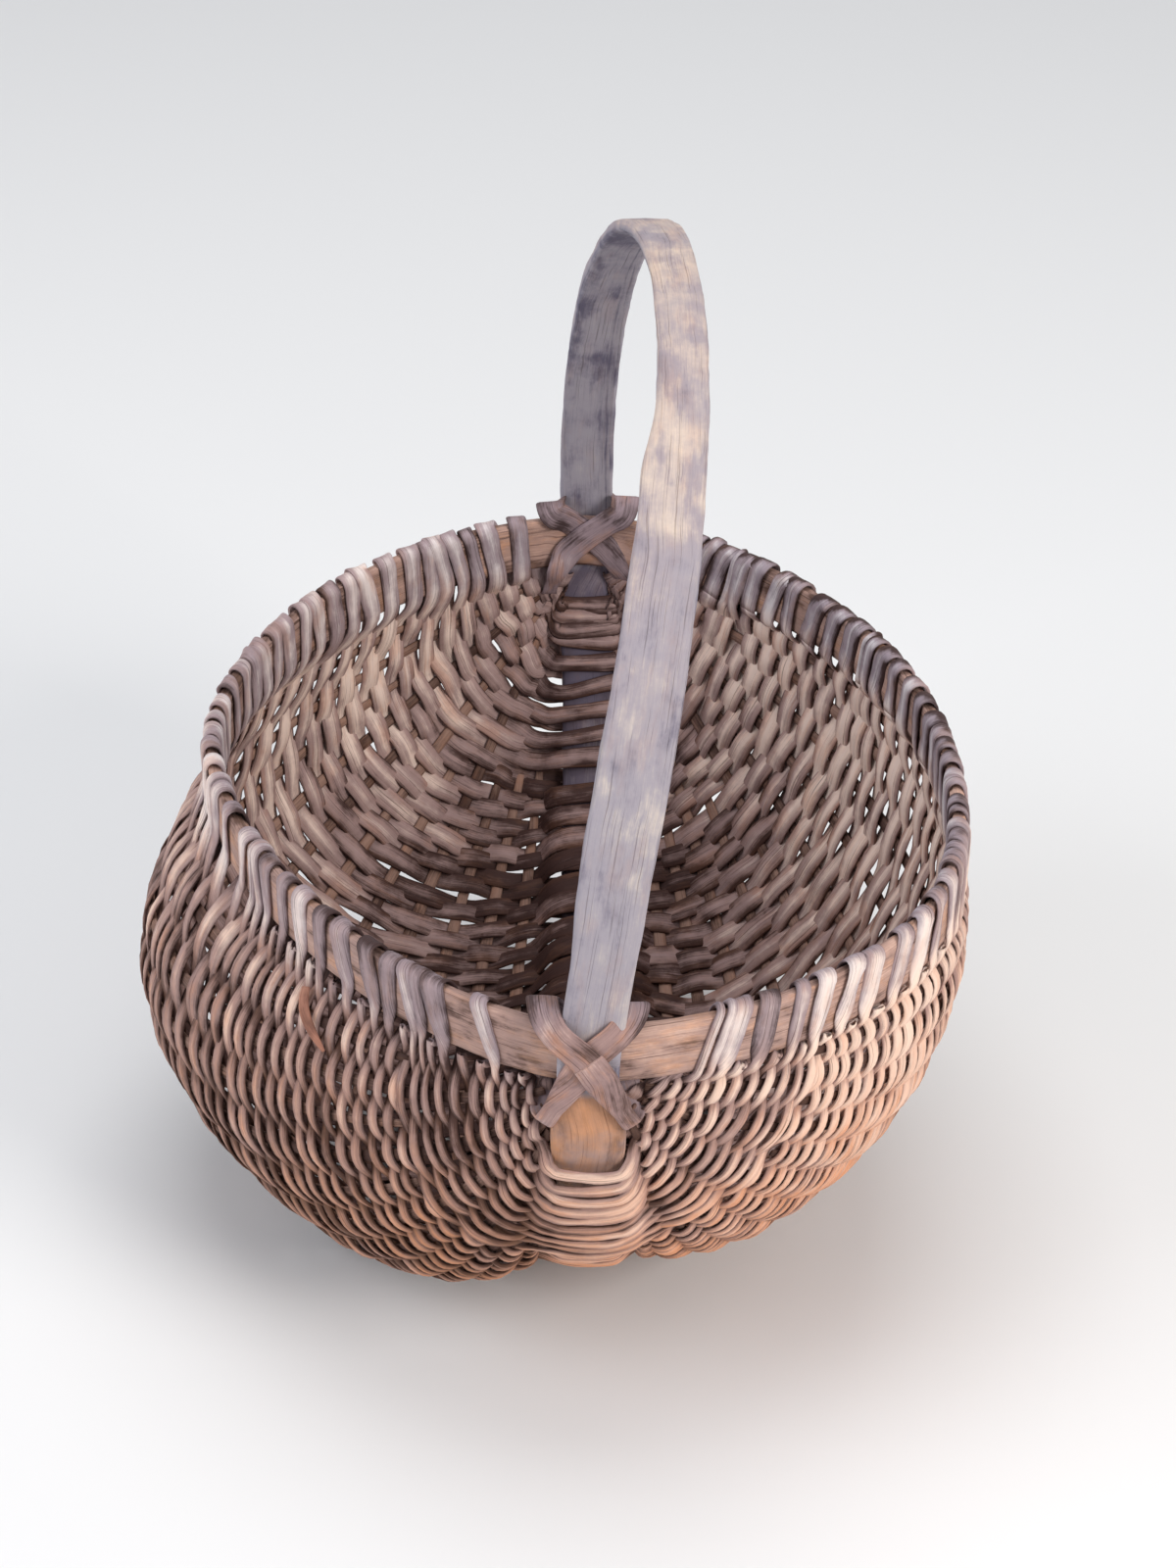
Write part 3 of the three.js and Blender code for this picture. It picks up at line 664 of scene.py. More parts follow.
def rib(s, number):
    rng = np.random.default_rng(RIB_SEEDS[s["name"]] + number)
    start = rib_start(number) if rib_start(number) > 0 else -EAR_REACH
    turn = turn_at(np.linspace(start, WEAVER_COUNT - start, RIB_STATIONS))
    angle = rib_angle(number)
    points = body_point(s, turn, angle)
    along = unit(np.gradient(points, axis=0))
    face = body_normal(s, turn, angle)
    width_way, face = squared_up(points, np.cross(along, face), face)
    share = rib_taper(number, turn)
    length = travelled(points)
    wide = RIB_WIDTH * share / 2 * rippled(rng, length, RIB_UNEVEN, 1)
    thick = RIB_HALF_THICK * share * rippled(rng, length, RIB_THICK_UNEVEN, 1)
    facet_depth, facet_length = RIB_FACETS
    facets = 1 + facet_depth * np.stack([ripple(rng, length, facet_length) for _ in RIB_SHAPE], axis=1)
    shapes = np.stack([RIB_SHAPE[:, 0] * wide[:, None], RIB_SHAPE[:, 1] * thick[:, None]], axis=-1)
    shapes = shapes * facets[..., None]
    corners, faces = swept(points, width_way, face, shapes)
    name = f"rib_{s['name']}_{number:02d}"
    tones = np.repeat(rng.uniform(*RIB_TONE) + rippled(rng, length, RIB_SHADES), len(RIB_SHAPE))
    # The outer side gets the painted shade of the gaps between the splints.
    outer = np.tile(RIB_SHAPE[:, 1] > 0.2, len(points))
    made_piece(f"whittled_{name}", corners, faces, RIB_WOOD, [name],
               grain_of(points, shapes, number), tones, np.where(outer, *RIB_PAINTED_SHADE))


# ---------------------------------------------------------------- the weave

ROWS_PER_WEAVER = 3.0  # rows in the width of one of the part's weavers
CROWDING = 0.6  # share of more rows beside the front ear, where they are packed closer
COUNT_MARGIN, COUNT_SAMPLES = 4, 900  # weavers past the ears to which rows are counted, and how finely
CROWDED_TO, EVEN_FROM = 4.0, 15.0  # weavers from the front ear between which the crowding fades
FIRST_PLACE, LAST_PLACE = -0.6, WEAVER_COUNT + 0.6  # the rows nearest the ears, in weavers
ROW_LEAN = 0.05  # turn by which a row leans towards the nearer ear on its way down
BUNCH_REACH = 0.027  # turn by which the ends of the rows bunch up or part along the rim
BUNCH_SPACING, BUNCH_COUNT = 0.12, 48  # turn between two places where that may change
BUNCHES_AHEAD = 4  # such places ahead of the front ear
BUNCH_SEEDS = (("left", 31), ("right", 32))
BUNCH_DEPTH = 0.3  # angle over which it dies away down the side
RIGHT_BUNCHES_MORE = 1.3
PARTED_WRAPS = (-1.6, 1.6)  # a wrap has parted from its neighbour on the left

SPLINT_WIDTH = 8.3
SPLINT_COVER = 1.34  # share of the room between two rows that a splint takes where it changes sides
SPLINT_SPREAD = 0.06  # more of it where it passes over a rib
WIDTH_UNEVEN = ((0.09, 60), (0.07, 15))
FRONT_TURN, FRONT_EASE = 1.15, 0.4  # before this turn the splints are narrower, and dark gaps show
FRONT_NARROWER = 0.17
RIGHT_KEEPS_WIDTH = 0.6  # share of that which the right side goes without
BACK_TURN, BACK_EASE = 1.3, 0.4
RIGHT_BACK_WIDER = 0.14
LEFT_BACK_NARROWER = 0.03  # here the weave is open, and the floor shows through it
WIDER_BY_RIM, WIDER_TURN, WIDER_EASE = 0.5, 1.2, 0.3
WIDER_REACH_LEFT, WIDER_REACH_RIGHT = 12.0, 26.0  # mm down the side over which that dies away
WANDER = 0.42  # share of a row's turn by which it wanders
ROW_WANDER = ((1.0, 30), (0.4, 9))
SIDE_LENGTH = 160.0  # about what a row measures from the rim to the spine

SPLINT_THICKNESS = 1.1
THICKNESS_UNEVEN = ((0.15, 22),)
SPLINT_KNOBS = ((0.34, 13), (0.2, 6))  # how far a splint stands off unevenly, and how often, in mm
SPLINT_TWIST = ((0.16, 15), (0.09, 6))  # and how far it turns about its own length
SPLINT_CLEARANCE = 0.15
SPLINT_BULGE = 0.5  # mm that a splint springs off a rib near the front ear; further back it lies flat
BULGE_TURN, BULGE_EASE = 1.6, 0.7
RIB_REST, RIB_REST_SHARE = 1.8, 0.2  # mm, or share of the way to the next rib, that it lies flat on a rib
NARROW_UNDER = 6.3  # mm of width under which a splint is bent over its length, so that its face is rounder
NARROW_CROWN = 0.5  # share of its thickness that this face then rises in its middle
CLOSE_RIBS, CLOSE_RIBS_AT_BACK = 6.0, 9.0  # mm between two crossings under which a splint weaves flatter
CLOSE_TURN, CLOSE_EASE = 2.2, 0.4
FLATTEST, FLATTEST_TUCKED = 0.3, 0.15  # and the least share of its full way off the ribs that it keeps
TIP_COVER = 0.3  # weavers by which a short rib's tip runs in behind its first row
LOWEST_REACH = 0.9  # mm that the lowest splints stand further out, as the basket rests on them
LOWEST_LEVEL, LOWEST_DEPTH = -156.0, 8.0

SPINE_ARCH_OUT = 0.8  # mm that a splint springs off the crown of the spine outside
EAR_ARCH_OUT, EAR_ARCH_TURN, EAR_ARCH_EASE = 2.2, 0.95, 0.4  # and this much more near the front ear
SPINE_ARCH_IN, FAR_ARCH_IN = 5.0, 0.8  # and inside, and at the far end of the inside
SPINE_SPREAD, SPINE_SPREAD_IN = 1.6, 4.4  # mm more room for a splint over the spine outside and inside
FAR_SPREAD = -0.7  # and at the far end, where the splints are narrow and the spine shows between them
FAR_TURN, FAR_EASE = 2.4, 0.25
ARCH_REACH, ARCH_SHRINK = 7.0, 3.0  # mm that the arch starts beside the spine, and how much less far back
SPINE_CROSSING = 8.5  # mm either side of the spine's middle to which a splint keeps its height over it
SIDE_SAMPLES = 72
SPINE_SAMPLES = 9
SPINE_MARGIN = 4  # samples of the sides that count as beside the spine
LAST_ANGLE = math.pi / 2 - 0.004  # just short of the spine's side, where the surface has no direction

WRAP_FLAT_SAMPLES = 6
WRAP_TOP_SAMPLES = 9
WRAP_LEAN, WRAP_LEAN_SPREAD = 6.5, 3.2  # mm that a wrap's top leans away from the nearer ear, more or less
WRAP_SPRING = 1.5  # mm that a loose wrap stands off the rim's top at most
WRAP_WIDTH = 8.2
WRAP_THICKER = 1.2
WRAP_COVER, BACK_WRAP_COVER = 0.8, 1.0  # share of the room between two wraps that one takes, front and back
COVER_SPREAD = (0.68, 1.2)  # and how far that goes up and down from wrap to wrap
WRAP_SHOULDER = 1.6  # mm under the rim's upper edge where a wrap starts to bend over
WRAP_TOP = 1.4  # mm from the rim's upper edge to the middle of the splint that goes over it
WRAP_OVERLAP = 2.0  # mm that a wrap starts over the rim's lower edge
# Turns between which the left rim is bare, and between which every second wrap is gone on each side.
BARE_RIM = ((0.2, 0.31), (0.345, 0.42), (0.455, 0.51), (0.56, 0.61), (0.68, 0.74))
THINNED_FROM, THINNED_TO = {"left": 0.75, "right": 0.31}, 1.08
COVER_TURN, COVER_EASE = 1.2, 0.6
BESIDE_BARE_WIDER = 2.0  # times that a wrap is wider where its neighbour is gone
TURNED_BACK_COVER = 0.6
TURNED_BACK_DROP, TURNED_BACK_LOOP = 0.8, 1.2  # mm under the rim's lower edge
SPRING_OUT = 0.16  # share by which a loose wrap also stands off the rim's faces, for each mm of its spring


def counted_rows():
    """How many rows lie between the first weaver's edge and each place along the basket, in weavers."""
    place = np.linspace(-COUNT_MARGIN, WEAVER_COUNT + COUNT_MARGIN, COUNT_SAMPLES)
    crowd = eased((EVEN_FROM - place) / (EVEN_FROM - CROWDED_TO))
    rows = ROWS_PER_WEAVER * (1 + CROWDING * crowd)
    count = np.concatenate([[0], np.cumsum((rows[1:] + rows[:-1]) / 2 * np.diff(place))])
    return place, count - np.interp(0, place, count)


PLACES, COUNTS = counted_rows()
FIRST_ROW = math.ceil(np.interp(FIRST_PLACE, PLACES, COUNTS) - 0.5)
LAST_ROW = math.floor(np.interp(LAST_PLACE, PLACES, COUNTS) - 0.5)
BUNCHES = {name: np.random.default_rng(seed).uniform(-1, 1, BUNCH_COUNT) for name, seed in BUNCH_SEEDS}
BUNCHES["right"] *= RIGHT_BUNCHES_MORE
BUNCHES["left"][14:16] = PARTED_WRAPS


def row_place(row):
    return np.interp(np.asarray(row) + 0.5, COUNTS, PLACES)


def row_turn(row):
    return turn_at(row_place(row))


def row_step(row):
    return float(row_turn(row + 0.5) - row_turn(row - 0.5))


def settled(s, turn, angle):
    """The turn at which a row really lies at each angle down the side."""
    bunch = BUNCHES[s["name"]]
    knot = np.clip(turn / BUNCH_SPACING + BUNCHES_AHEAD, 0, len(bunch) - 2)
    whole = np.floor(knot).astype(int)
    bunch = bunch[whole] + (bunch[whole + 1] - bunch[whole]) * eased(knot - whole)
    lean = ROW_LEAN * np.cos(turn) * np.sin(2 * angle)
    return turn - lean + BUNCH_REACH * bunch * np.exp(-angle / BUNCH_DEPTH)


def face_of(row):
    """Neighbouring rows come up opposite faces of the rim: 1 is the outer one."""
    return 1 if row % 2 == 0 else -1


def row_line(row, rng):
    """The middle line of a row from the left rim to the right one, along the surface that the ribs lie in,
    with the way to the next row, as long as the room between them, and the way off the surface."""
    turn, step = row_turn(row), row_step(row)
    angles = np.linspace(0, LAST_ANGLE, SIDE_SAMPLES)
    spread = np.linspace(-SPINE_EDGE, SPINE_EDGE, SPINE_SAMPLES + 2)[1:-1]

    def wandering():
        line = WANDER * step * rippled(rng, np.linspace(0, SIDE_LENGTH, SIDE_SAMPLES), ROW_WANDER)
        return line * np.sin(np.linspace(0, math.pi / 2, SIDE_SAMPLES)) ** 0.5

    def on_side(s, turn):
        return body_point(s, settled(s, turn, angles), angles)

    def on_spine(turn):
        return spine_point(np.full(SPINE_SAMPLES, turn))

    left_turn = settled(LEFT, turn, angles) + wandering()
    right_turn = settled(RIGHT, turn, angles) + wandering()
    left = body_point(LEFT, left_turn, angles)
    right = body_point(RIGHT, right_turn, angles)
    spine = spine_point(np.linspace(left_turn[-1], right_turn[-1], SPINE_SAMPLES))
    base = softened(np.concatenate([left, spine + RIGHTWARDS * spread[:, None], right[::-1]]), 3)
    after, before = turn + step / 2, turn - step / 2
    room = softened(np.concatenate([
        on_side(LEFT, after) - on_side(LEFT, before),
        on_spine(after) - on_spine(before),
        (on_side(RIGHT, after) - on_side(RIGHT, before))[::-1],
    ]), 4)
    outward = softened(np.concatenate([
        body_normal(LEFT, left_turn, angles),
        spine_normal(np.full(SPINE_SAMPLES, turn)),
        body_normal(RIGHT, right_turn, angles)[::-1],
    ]), 4)
    return base, room, outward


def crossings(row, base, length, tucked, behind_spine):
    """Where a row crosses the rim, the ribs and the spine, how far off their middles it stands, the most
    that it does, and on which side of the spine it passes."""
    turn, weaver = row_turn(row), row_place(row)
    angles = np.linspace(0, LAST_ANGLE, SIDE_SAMPLES)
    first_short = SHORT_RIB_START + TIP_COVER
    among_short_ribs = first_short <= weaver <= WEAVER_COUNT - first_short
    crossed = [n for n in range(1, RIBS_PER_SIDE + 1) if rib_start(n) < 0 or among_short_ribs]
    half_thick = SPLINT_THICKNESS / 2 + SPLINT_CLEARANCE
    rim_height = RIM_THICKNESS / 2 + half_thick
    spine_height = HANDLE_THICKNESS / 2 + half_thick
    ribs = len(crossed)
    bulge = SPLINT_BULGE * eased((BULGE_TURN - turn) / BULGE_EASE)
    rib_heights = [RIB_HALF_THICK * rib_taper(n, turn) + half_thick + bulge for n in crossed]
    left = [np.interp(rib_angle(n), angles, length[:SIDE_SAMPLES]) for n in crossed]
    right = [np.interp(-rib_angle(n), -angles[::-1], length[SIDE_SAMPLES + SPINE_SAMPLES:]) for n in crossed]
    by_spine = slice(SIDE_SAMPLES - SPINE_MARGIN, SIDE_SAMPLES + SPINE_SAMPLES + SPINE_MARGIN)
    spine = [np.interp(x, base[by_spine, 0], length[by_spine]) for x in (-SPINE_CROSSING, SPINE_CROSSING)]

    # The row changes sides from one crossing to the next. The spine's two knots are one crossing.
    knots = np.array([0.0] + left + spine + right[::-1] + [length[-1]])
    heights = [rim_height] + rib_heights + [spine_height] * 2 + rib_heights[::-1] + [rim_height]
    count = np.arange(len(knots))
    sides = face_of(row) * (-1) ** (count - (count > ribs + 1))
    if behind_spine:
        sides[ribs + 1:ribs + 3] = -1
    offs = sides * np.array(heights)
    if tucked:
        offs[0] = offs[-1] = 0
    if tucked and turn > math.pi / 2:
        offs[1:ribs + 1] = offs[ribs + 3:-1] = -RIB_HALF_THICK
    apart = np.diff(knots)
    apart = np.minimum(np.append(apart, apart[-1]), np.insert(apart, 0, apart[0]))
    close = CLOSE_RIBS + (CLOSE_RIBS_AT_BACK - CLOSE_RIBS) * eased((turn - CLOSE_TURN) / CLOSE_EASE)
    offs = offs * np.clip(apart / close, FLATTEST_TUCKED if tucked else FLATTEST, 1)
    return knots, offs, max([rim_height] + rib_heights), sides[ribs + 1]


def woven(knots, offs, length):
    """How far a row stands off the ribs' surface all along it: flat on each rib, and eased in between."""
    which = np.clip(np.searchsorted(knots, length, side="right") - 1, 0, len(knots) - 2)
    gap = np.maximum(knots[which + 1] - knots[which], 1e-6)
    flat = np.minimum(RIB_REST_SHARE, RIB_REST / gap)
    share = eased(((length - knots[which]) / gap - flat) / (1 - 2 * flat))
    return offs[which] * (1 - share) + offs[which + 1] * share


def width_by_place(base, length, turn):
    """The shares of its usual room that a row has at each place, by the side and by the rim."""
    at_back = eased((turn - BACK_TURN) / BACK_EASE)
    at_right = eased((base[:, 0] + 20) / 40)
    wider = at_back * (RIGHT_BACK_WIDER * at_right - LEFT_BACK_NARROWER * (1 - at_right))
    narrower = FRONT_NARROWER * eased((FRONT_TURN - turn) / FRONT_EASE) * (1 - RIGHT_KEEPS_WIDTH * at_right)
    by_ends = np.exp(-length / WIDER_REACH_LEFT) + np.exp((length - length[-1]) / WIDER_REACH_RIGHT)
    by_rim = WIDER_BY_RIM * by_ends * eased((turn - WIDER_TURN) / WIDER_EASE)
    return 1 - narrower + wider, 1 + by_rim


def row_under_rim(row, rng, tucked=False, behind_spine=False):
    """A row from the left rim to the right one: its middle line, the way across it and off its face, the
    room that it has between its neighbours, and how far it stands off the ribs as a share of its most.
    A tucked row ends under the rim at both ends, and it may pass behind the spine whatever its turn."""
    turn = row_turn(row)
    base, room, outward = row_line(row, rng)
    width_way, outward = squared_up(base, unit(room), outward)
    length = travelled(base)
    knots, offs, most, spine_side = crossings(row, base, length, tucked, behind_spine)
    off = woven(knots, offs, length)
    crest = off / most

    # Over the spine a splint arches, and it is spread there but for the far end.
    far = eased((turn - FAR_TURN) / FAR_EASE)
    arch = np.clip(1 - (base[:, 0] / (SPINE_EDGE + ARCH_REACH - ARCH_SHRINK * far)) ** 2, 0, 1)
    if spine_side > 0:
        by_ear = eased((EAR_ARCH_TURN - turn) / EAR_ARCH_EASE)
        rise = SPINE_CROWN_OUT + (SPINE_ARCH_OUT + EAR_ARCH_OUT * by_ear)
        near_spread = SPINE_SPREAD
    else:
        rise = SPINE_CROWN_IN + (SPINE_ARCH_IN + (FAR_ARCH_IN - SPINE_ARCH_IN) * far)
        near_spread = SPINE_SPREAD_IN
    off = off + spine_side * rise * arch ** 0.8
    room = room + unit(room) * ((near_spread + (FAR_SPREAD - near_spread) * far) * arch ** 0.5)[:, None]

    knobby = rippled(rng, length, SPLINT_KNOBS)
    off = off + knobby * np.sin(math.pi * np.linspace(0, 1, len(length))) ** 0.3
    off = off + LOWEST_REACH * eased((LOWEST_LEVEL - base[:, 2]) / LOWEST_DEPTH)
    by_place, by_rim = width_by_place(base, length, turn)
    room = np.linalg.norm(room, axis=1) * by_place * by_rim
    return base + outward * off[:, None], width_way, outward, room, crest


def worn_away(s, row):
    """On the left of the front ear some wraps are gone, and the rim's own wood shows between the others.
    Where the rows are crowded, only every second wrap goes over the rim, on both sides."""
    bare = s is LEFT and any(start < row_turn(row) < end for start, end in BARE_RIM)
    return bare or (row % 4 < 2 and THINNED_FROM[s["name"]] < row_turn(row) < THINNED_TO)


def wrap_over_rim(s, row, rng):
    """The splint's way over the rim between a row and the next one, up one face and down the other. Where
    the rim is bare it turns back under the rim instead."""
    face, gone = face_of(row), worn_away(s, row)
    here, step = row_turn(row), row_step(row)
    reach = RIM_THICKNESS / 2 + SPLINT_CLEARANCE + SPLINT_THICKNESS / 2
    edge = RIM_HEIGHT / 2
    shoulder = edge - WRAP_SHOULDER
    up_level = np.linspace(-edge + WRAP_OVERLAP, shoulder, WRAP_FLAT_SAMPLES)
    arc = np.linspace(0, math.pi, WRAP_TOP_SAMPLES + 2)[1:-1]
    level = np.concatenate([up_level, shoulder + (edge + WRAP_TOP - shoulder) * np.sin(arc), up_level[::-1]])
    flat = np.full(WRAP_FLAT_SAMPLES, reach)
    away = np.concatenate([flat, reach * np.cos(arc), -flat]) * face
    tilt = np.concatenate([np.zeros(len(up_level)), arc, np.full(len(up_level), math.pi)])
    share = np.linspace(0, 1, len(level))
    arch = np.sin(share * math.pi)
    lean = (WRAP_LEAN * np.cos(here) + rng.uniform(-WRAP_LEAN_SPREAD, WRAP_LEAN_SPREAD)) * arch
    spring = rng.uniform(0, WRAP_SPRING)
    if gone:
        away = reach * face * np.cos(share * math.pi)
        level = -edge - TURNED_BACK_DROP - TURNED_BACK_LOOP * arch
        tilt = -share * math.pi
        lean, spring = 0 * lean, 0
    turn = settled(s, here + step * share, 0.0)
    normal = rim_normal(s, turn)
    width_way = unit(rim_point(s, turn + TINY) - rim_point(s, turn - TINY))
    away = away * (1 + SPRING_OUT * spring * arch ** 2)
    level = level + spring * arch ** 6
    points = rim_point(s, turn) + normal * away[:, None] + UP * level[:, None] + width_way * lean[:, None]
    face_way = normal * (np.cos(tilt) * face)[:, None] + UP * np.sin(tilt)[:, None]
    first, last = (settled(s, here + side * step / 2, 0.0) for side in (-1, 1))
    cover = WRAP_COVER + (BACK_WRAP_COVER - WRAP_COVER) * eased((here - COVER_TURN) / COVER_EASE)
    cover = cover * rng.uniform(*COVER_SPREAD)
    if gone:
        cover = TURNED_BACK_COVER
    elif worn_away(s, row + 2) or worn_away(s, row - 2):
        cover = cover * BESIDE_BARE_WIDER
    room = np.full(len(points), 2 * cover * np.linalg.norm(rim_point(s, last) - rim_point(s, first)))
    return points, width_way, face_way, room


def splint_shapes(rng, length, room, crest, wraps):
    """The outline of a splint at each place along it: broader over a rib, narrower where it changes sides."""
    uneven = rippled(rng, length, WIDTH_UNEVEN, 1)
    width = np.minimum(np.maximum(SPLINT_WIDTH, room), room * (SPLINT_COVER + SPLINT_SPREAD * np.abs(crest)))
    width = np.where(wraps, np.minimum(WRAP_WIDTH, room), width) * uneven
    width = softened(width[:, None], 3)[:, 0]
    thick = SPLINT_THICKNESS * rippled(rng, length, THICKNESS_UNEVEN, 1) * np.where(wraps, WRAP_THICKER, 1)
    thick = softened(thick[:, None], 2)[:, 0]
    x, y = SPLINT_SHAPE.T
    narrow = np.clip((NARROW_UNDER - width) / 3, 0, 1)[:, None]
    crown = NARROW_CROWN * narrow * np.where(y > 0, 1 - (2 * x) ** 2, 0)
    return np.stack([x * width[:, None], (y + crown) * thick[:, None]], axis=-1)


# How pale a splint is painted, and how much brown shows, by what each place adds to it or takes away. The
# paleness is bleaching and painted light and shade together. Its outside is paler, painted as lit most on
# the right-hand front, and on the crests, which are worn and carry painted highlights; low on the left and on
# the right past the front it is painted darker. The inside is painted in shade, darkest low down and by the
# spine, with painted light on the right-hand wall and the far left one. Over the rim the wraps are painted
# darker, least at the back on the left. On the rim the brown is gone, and the wood is grey: there the brown
# falls below 0.
PAINTED_LIGHT_AND_BLEACHING = {
    "outside": {
        "anywhere": 0.39, "crest": 0.42, "sunny_front": 0.3, "by_rim": 0.06, "by_left_rim": 0.14,
        "low_left": -0.16, "right_past_front": -0.3, "far_right": -0.16,
    },
    "inside": {
        "anywhere": 0.08, "crest": -0.06, "high": 0.66, "farther": 0.1, "by_spine": -0.16,
        "right_wall": 0.62, "far_left_wall": 0.36,
    },
    "on_rim": {"anywhere": -0.13, "back_left": 0.16, "far_left": -0.2, "front_left": -0.26, "right": -0.21},
}
BROWNING = {
    "outside": {"anywhere": 0.16, "right": 0.1, "far_right": 0.04, "low_front": 1.0},
    "inside": {"anywhere": -0.22},
    "on_rim": {"anywhere": -0.85, "outer_right": 0.2, "left": 0.2, "far_left": 0.2},
}
EDGE_SHADE = 0.36  # painted shade: how much darker a splint is painted along its edges, and a little paler along its middle
# How much the shade goes up and down from row to row, from one length of wood to the next and from wrap to
# wrap, and along the splint and its crests.
ROW_TONE, LENGTH_TONE, WRAP_TONE = 0.055, 0.04, 0.075
LENGTH_ROWS = 4
SPLINT_SHADES, CREST_SHADES = ((0.11, 34),), ((0.1, 12),)
WEAVE_SEED, EAR_SEEDS, GRAIN_SEED = 2024, (77, 78), 5
EAR_TONE, EAR_TONE_SPREAD, EAR_SHADES = -0.12, 0.06, ((0.08, 30),)


def weathering_and_painted_light(corners, away, crest):
    """How pale a splint is painted at each corner, by bleaching and by painted light and shade, and how much
    brown shows. Lengths are in mm from the middle of the rim."""
    x, y, z = corners.T
    outside = share_between(away, -0.5, 0.5)
    by_rim = share_between(z, -40, 0)
    below_rim = 1 - 0.6 * by_rim
    low = share_between(z, -25, -115)
    left, right = share_between(x, 0, -90), share_between(x, 0, 90)
    far = share_between(y, 0, 100)
    places = {
        "anywhere": 1.0,
        "crest": crest,
        "left": left,
        "right": right,
        "outer_right": right * outside,
        "far_left": left * far,
        "far_right": right * far,
        "by_rim": by_rim,
        "by_left_rim": left * by_rim,
        "low_left": left * low,
        "low_front": low * np.clip(0.6 + x / 400 - y / 350, 0.1, 0.9),
        "sunny_front": np.clip(x / 90, -0.25, 1) * np.clip(0.72 - y / 200, 0.1, 1.3),
        "right_past_front": right * share_between(y, -110, -50),
        "front_left": left * share_between(y, -70, -130),
        "back_left": left * share_between(y, -70, 20),
        "high": share_between(z, -120, 0),
        "farther": np.clip(y / 120, -1, 1),
        "by_spine": share_between(np.abs(x), 52, 12),
        "right_wall": right * below_rim,
        "far_left_wall": left * far * below_rim,
    }
    parts = {"outside": outside, "inside": 1 - outside, "on_rim": share_between(z, -18, -4)}

    def added(recipe):
        return sum(parts[part] * share * places[place]
                   for part, shares in recipe.items() for place, share in shares.items())

    return added(PAINTED_LIGHT_AND_BLEACHING), added(BROWNING)


def splint_piece(name, points, width_way, face_way, shapes, outward, crest, tone, nodes, grain=None):
    """A length of splint, with painted shade along its edges."""
    corners, faces = swept(points, width_way, face_way, shapes)
    around = shapes.shape[1]
    middle = np.repeat(points, around, axis=0)
    away = np.sum(unit(corners - middle) * np.repeat(outward, around, axis=0), axis=1)
    light_and_bleach, heart = weathering_and_painted_light(corners, away, np.repeat(crest, around))
    edge = np.abs(shapes[..., 0]) / np.maximum(np.abs(shapes[..., 0]).max(axis=1, keepdims=True), 1e-6)
    # Painted shade along the edges, where the splint turns down between its neighbours, with a little painted
    # highlight along its middle; half as much on the inner face, and less where the wood is grey.
    edge_shade = EDGE_SHADE * (1 + 0.8 * np.clip(heart, -1, 0)) * (0.5 + 0.5 * share_between(away, -0.5, 0.5))
    light_and_bleach = light_and_bleach - edge_shade * (edge.reshape(-1) ** 2 - 0.3)
    grain = grain_of(points, shapes, GRAIN_SEED) if grain is None else grain.reshape(-1, 3)
    tones = np.repeat(tone, around)
    made_piece(name, corners, faces, SPLINT_WOOD, nodes, grain, tones, light_and_bleach, heart)


def weave():
    """One long splint over all the rows, cut where the part's weavers meet."""
    rng = np.random.default_rng(WEAVE_SEED)
    runs = []
    for row in range(FIRST_ROW, LAST_ROW + 1):
        points, width_way, outward, room, crest = row_under_rim(row, rng)
        run = [points, width_way, outward * face_of(row), room, outward, crest]
        backwards = row % 2 == 1
        if backwards:
            run = [a[::-1] for a in run]
        runs.append([row, False] + run)
        if row < LAST_ROW:
            s = LEFT if backwards else RIGHT
            points, width_way, face_way, room = wrap_over_rim(s, row, rng)
            outward = rim_normal(s, np.full(len(points), row_turn(row)))
            crest = np.sum(face_way * outward, axis=1)
            runs.append([row, True, points, width_way, face_way, room, outward, crest])
    # The splint is evened out where its rows meet the rim.
    rows = np.concatenate([np.full(len(r[2]), r[0]) for r in runs])
    wraps = np.concatenate([np.full(len(r[2]), r[1]) for r in runs])
    points, width_way, face_way, room, outward, crest = (
        np.concatenate([r[i] for r in runs]) for i in range(2, 8))
    points = softened(points, 2)
    width_way, face_way = squared_up(points, softened(width_way, 2), softened(face_way, 2))
    length = travelled(points)
    width_way, face_way = twisted(width_way, face_way, rippled(rng, length, SPLINT_TWIST))
    shapes = splint_shapes(rng, length, room, crest, wraps)
    # Splints are joined every few rows, and each length of wood has its own shade.
    count = LAST_ROW - FIRST_ROW + 1
    row_tone = rng.normal(0, ROW_TONE, count)
    length_tone = rng.normal(0, LENGTH_TONE, count // LENGTH_ROWS + 1)
    row_tone = row_tone + np.repeat(length_tone, LENGTH_ROWS)[:count]
    wrap_tone = rng.normal(0, WRAP_TONE, count)
    tone = (row_tone[rows - FIRST_ROW] + rippled(rng, length, SPLINT_SHADES)) * (0.9 + 0.35 * crest)
    tone = tone + wraps * wrap_tone[rows - FIRST_ROW]
    tone = tone + np.clip(crest, 0, 1) * rippled(rng, length, CREST_SHADES)
    tone = softened(tone[:, None], 6)[:, 0]
    grain = grain_of(points, shapes, GRAIN_SEED).reshape(len(points), -1, 3)
    for weaver in range(WEAVER_COUNT):
        used = np.nonzero(np.clip(np.floor(row_place(rows)), 0, WEAVER_COUNT - 1) == weaver)[0]
        part = slice(used[0], used[-1] + 2)
        splint_piece(f"splint_{weaver + 1:02d}", points[part], width_way[part], face_way[part], shapes[part],
                     outward[part], crest[part], tone[part], [f"weaver_{weaver + 1:02d}"], grain[part])


EAR_ROWS = 3


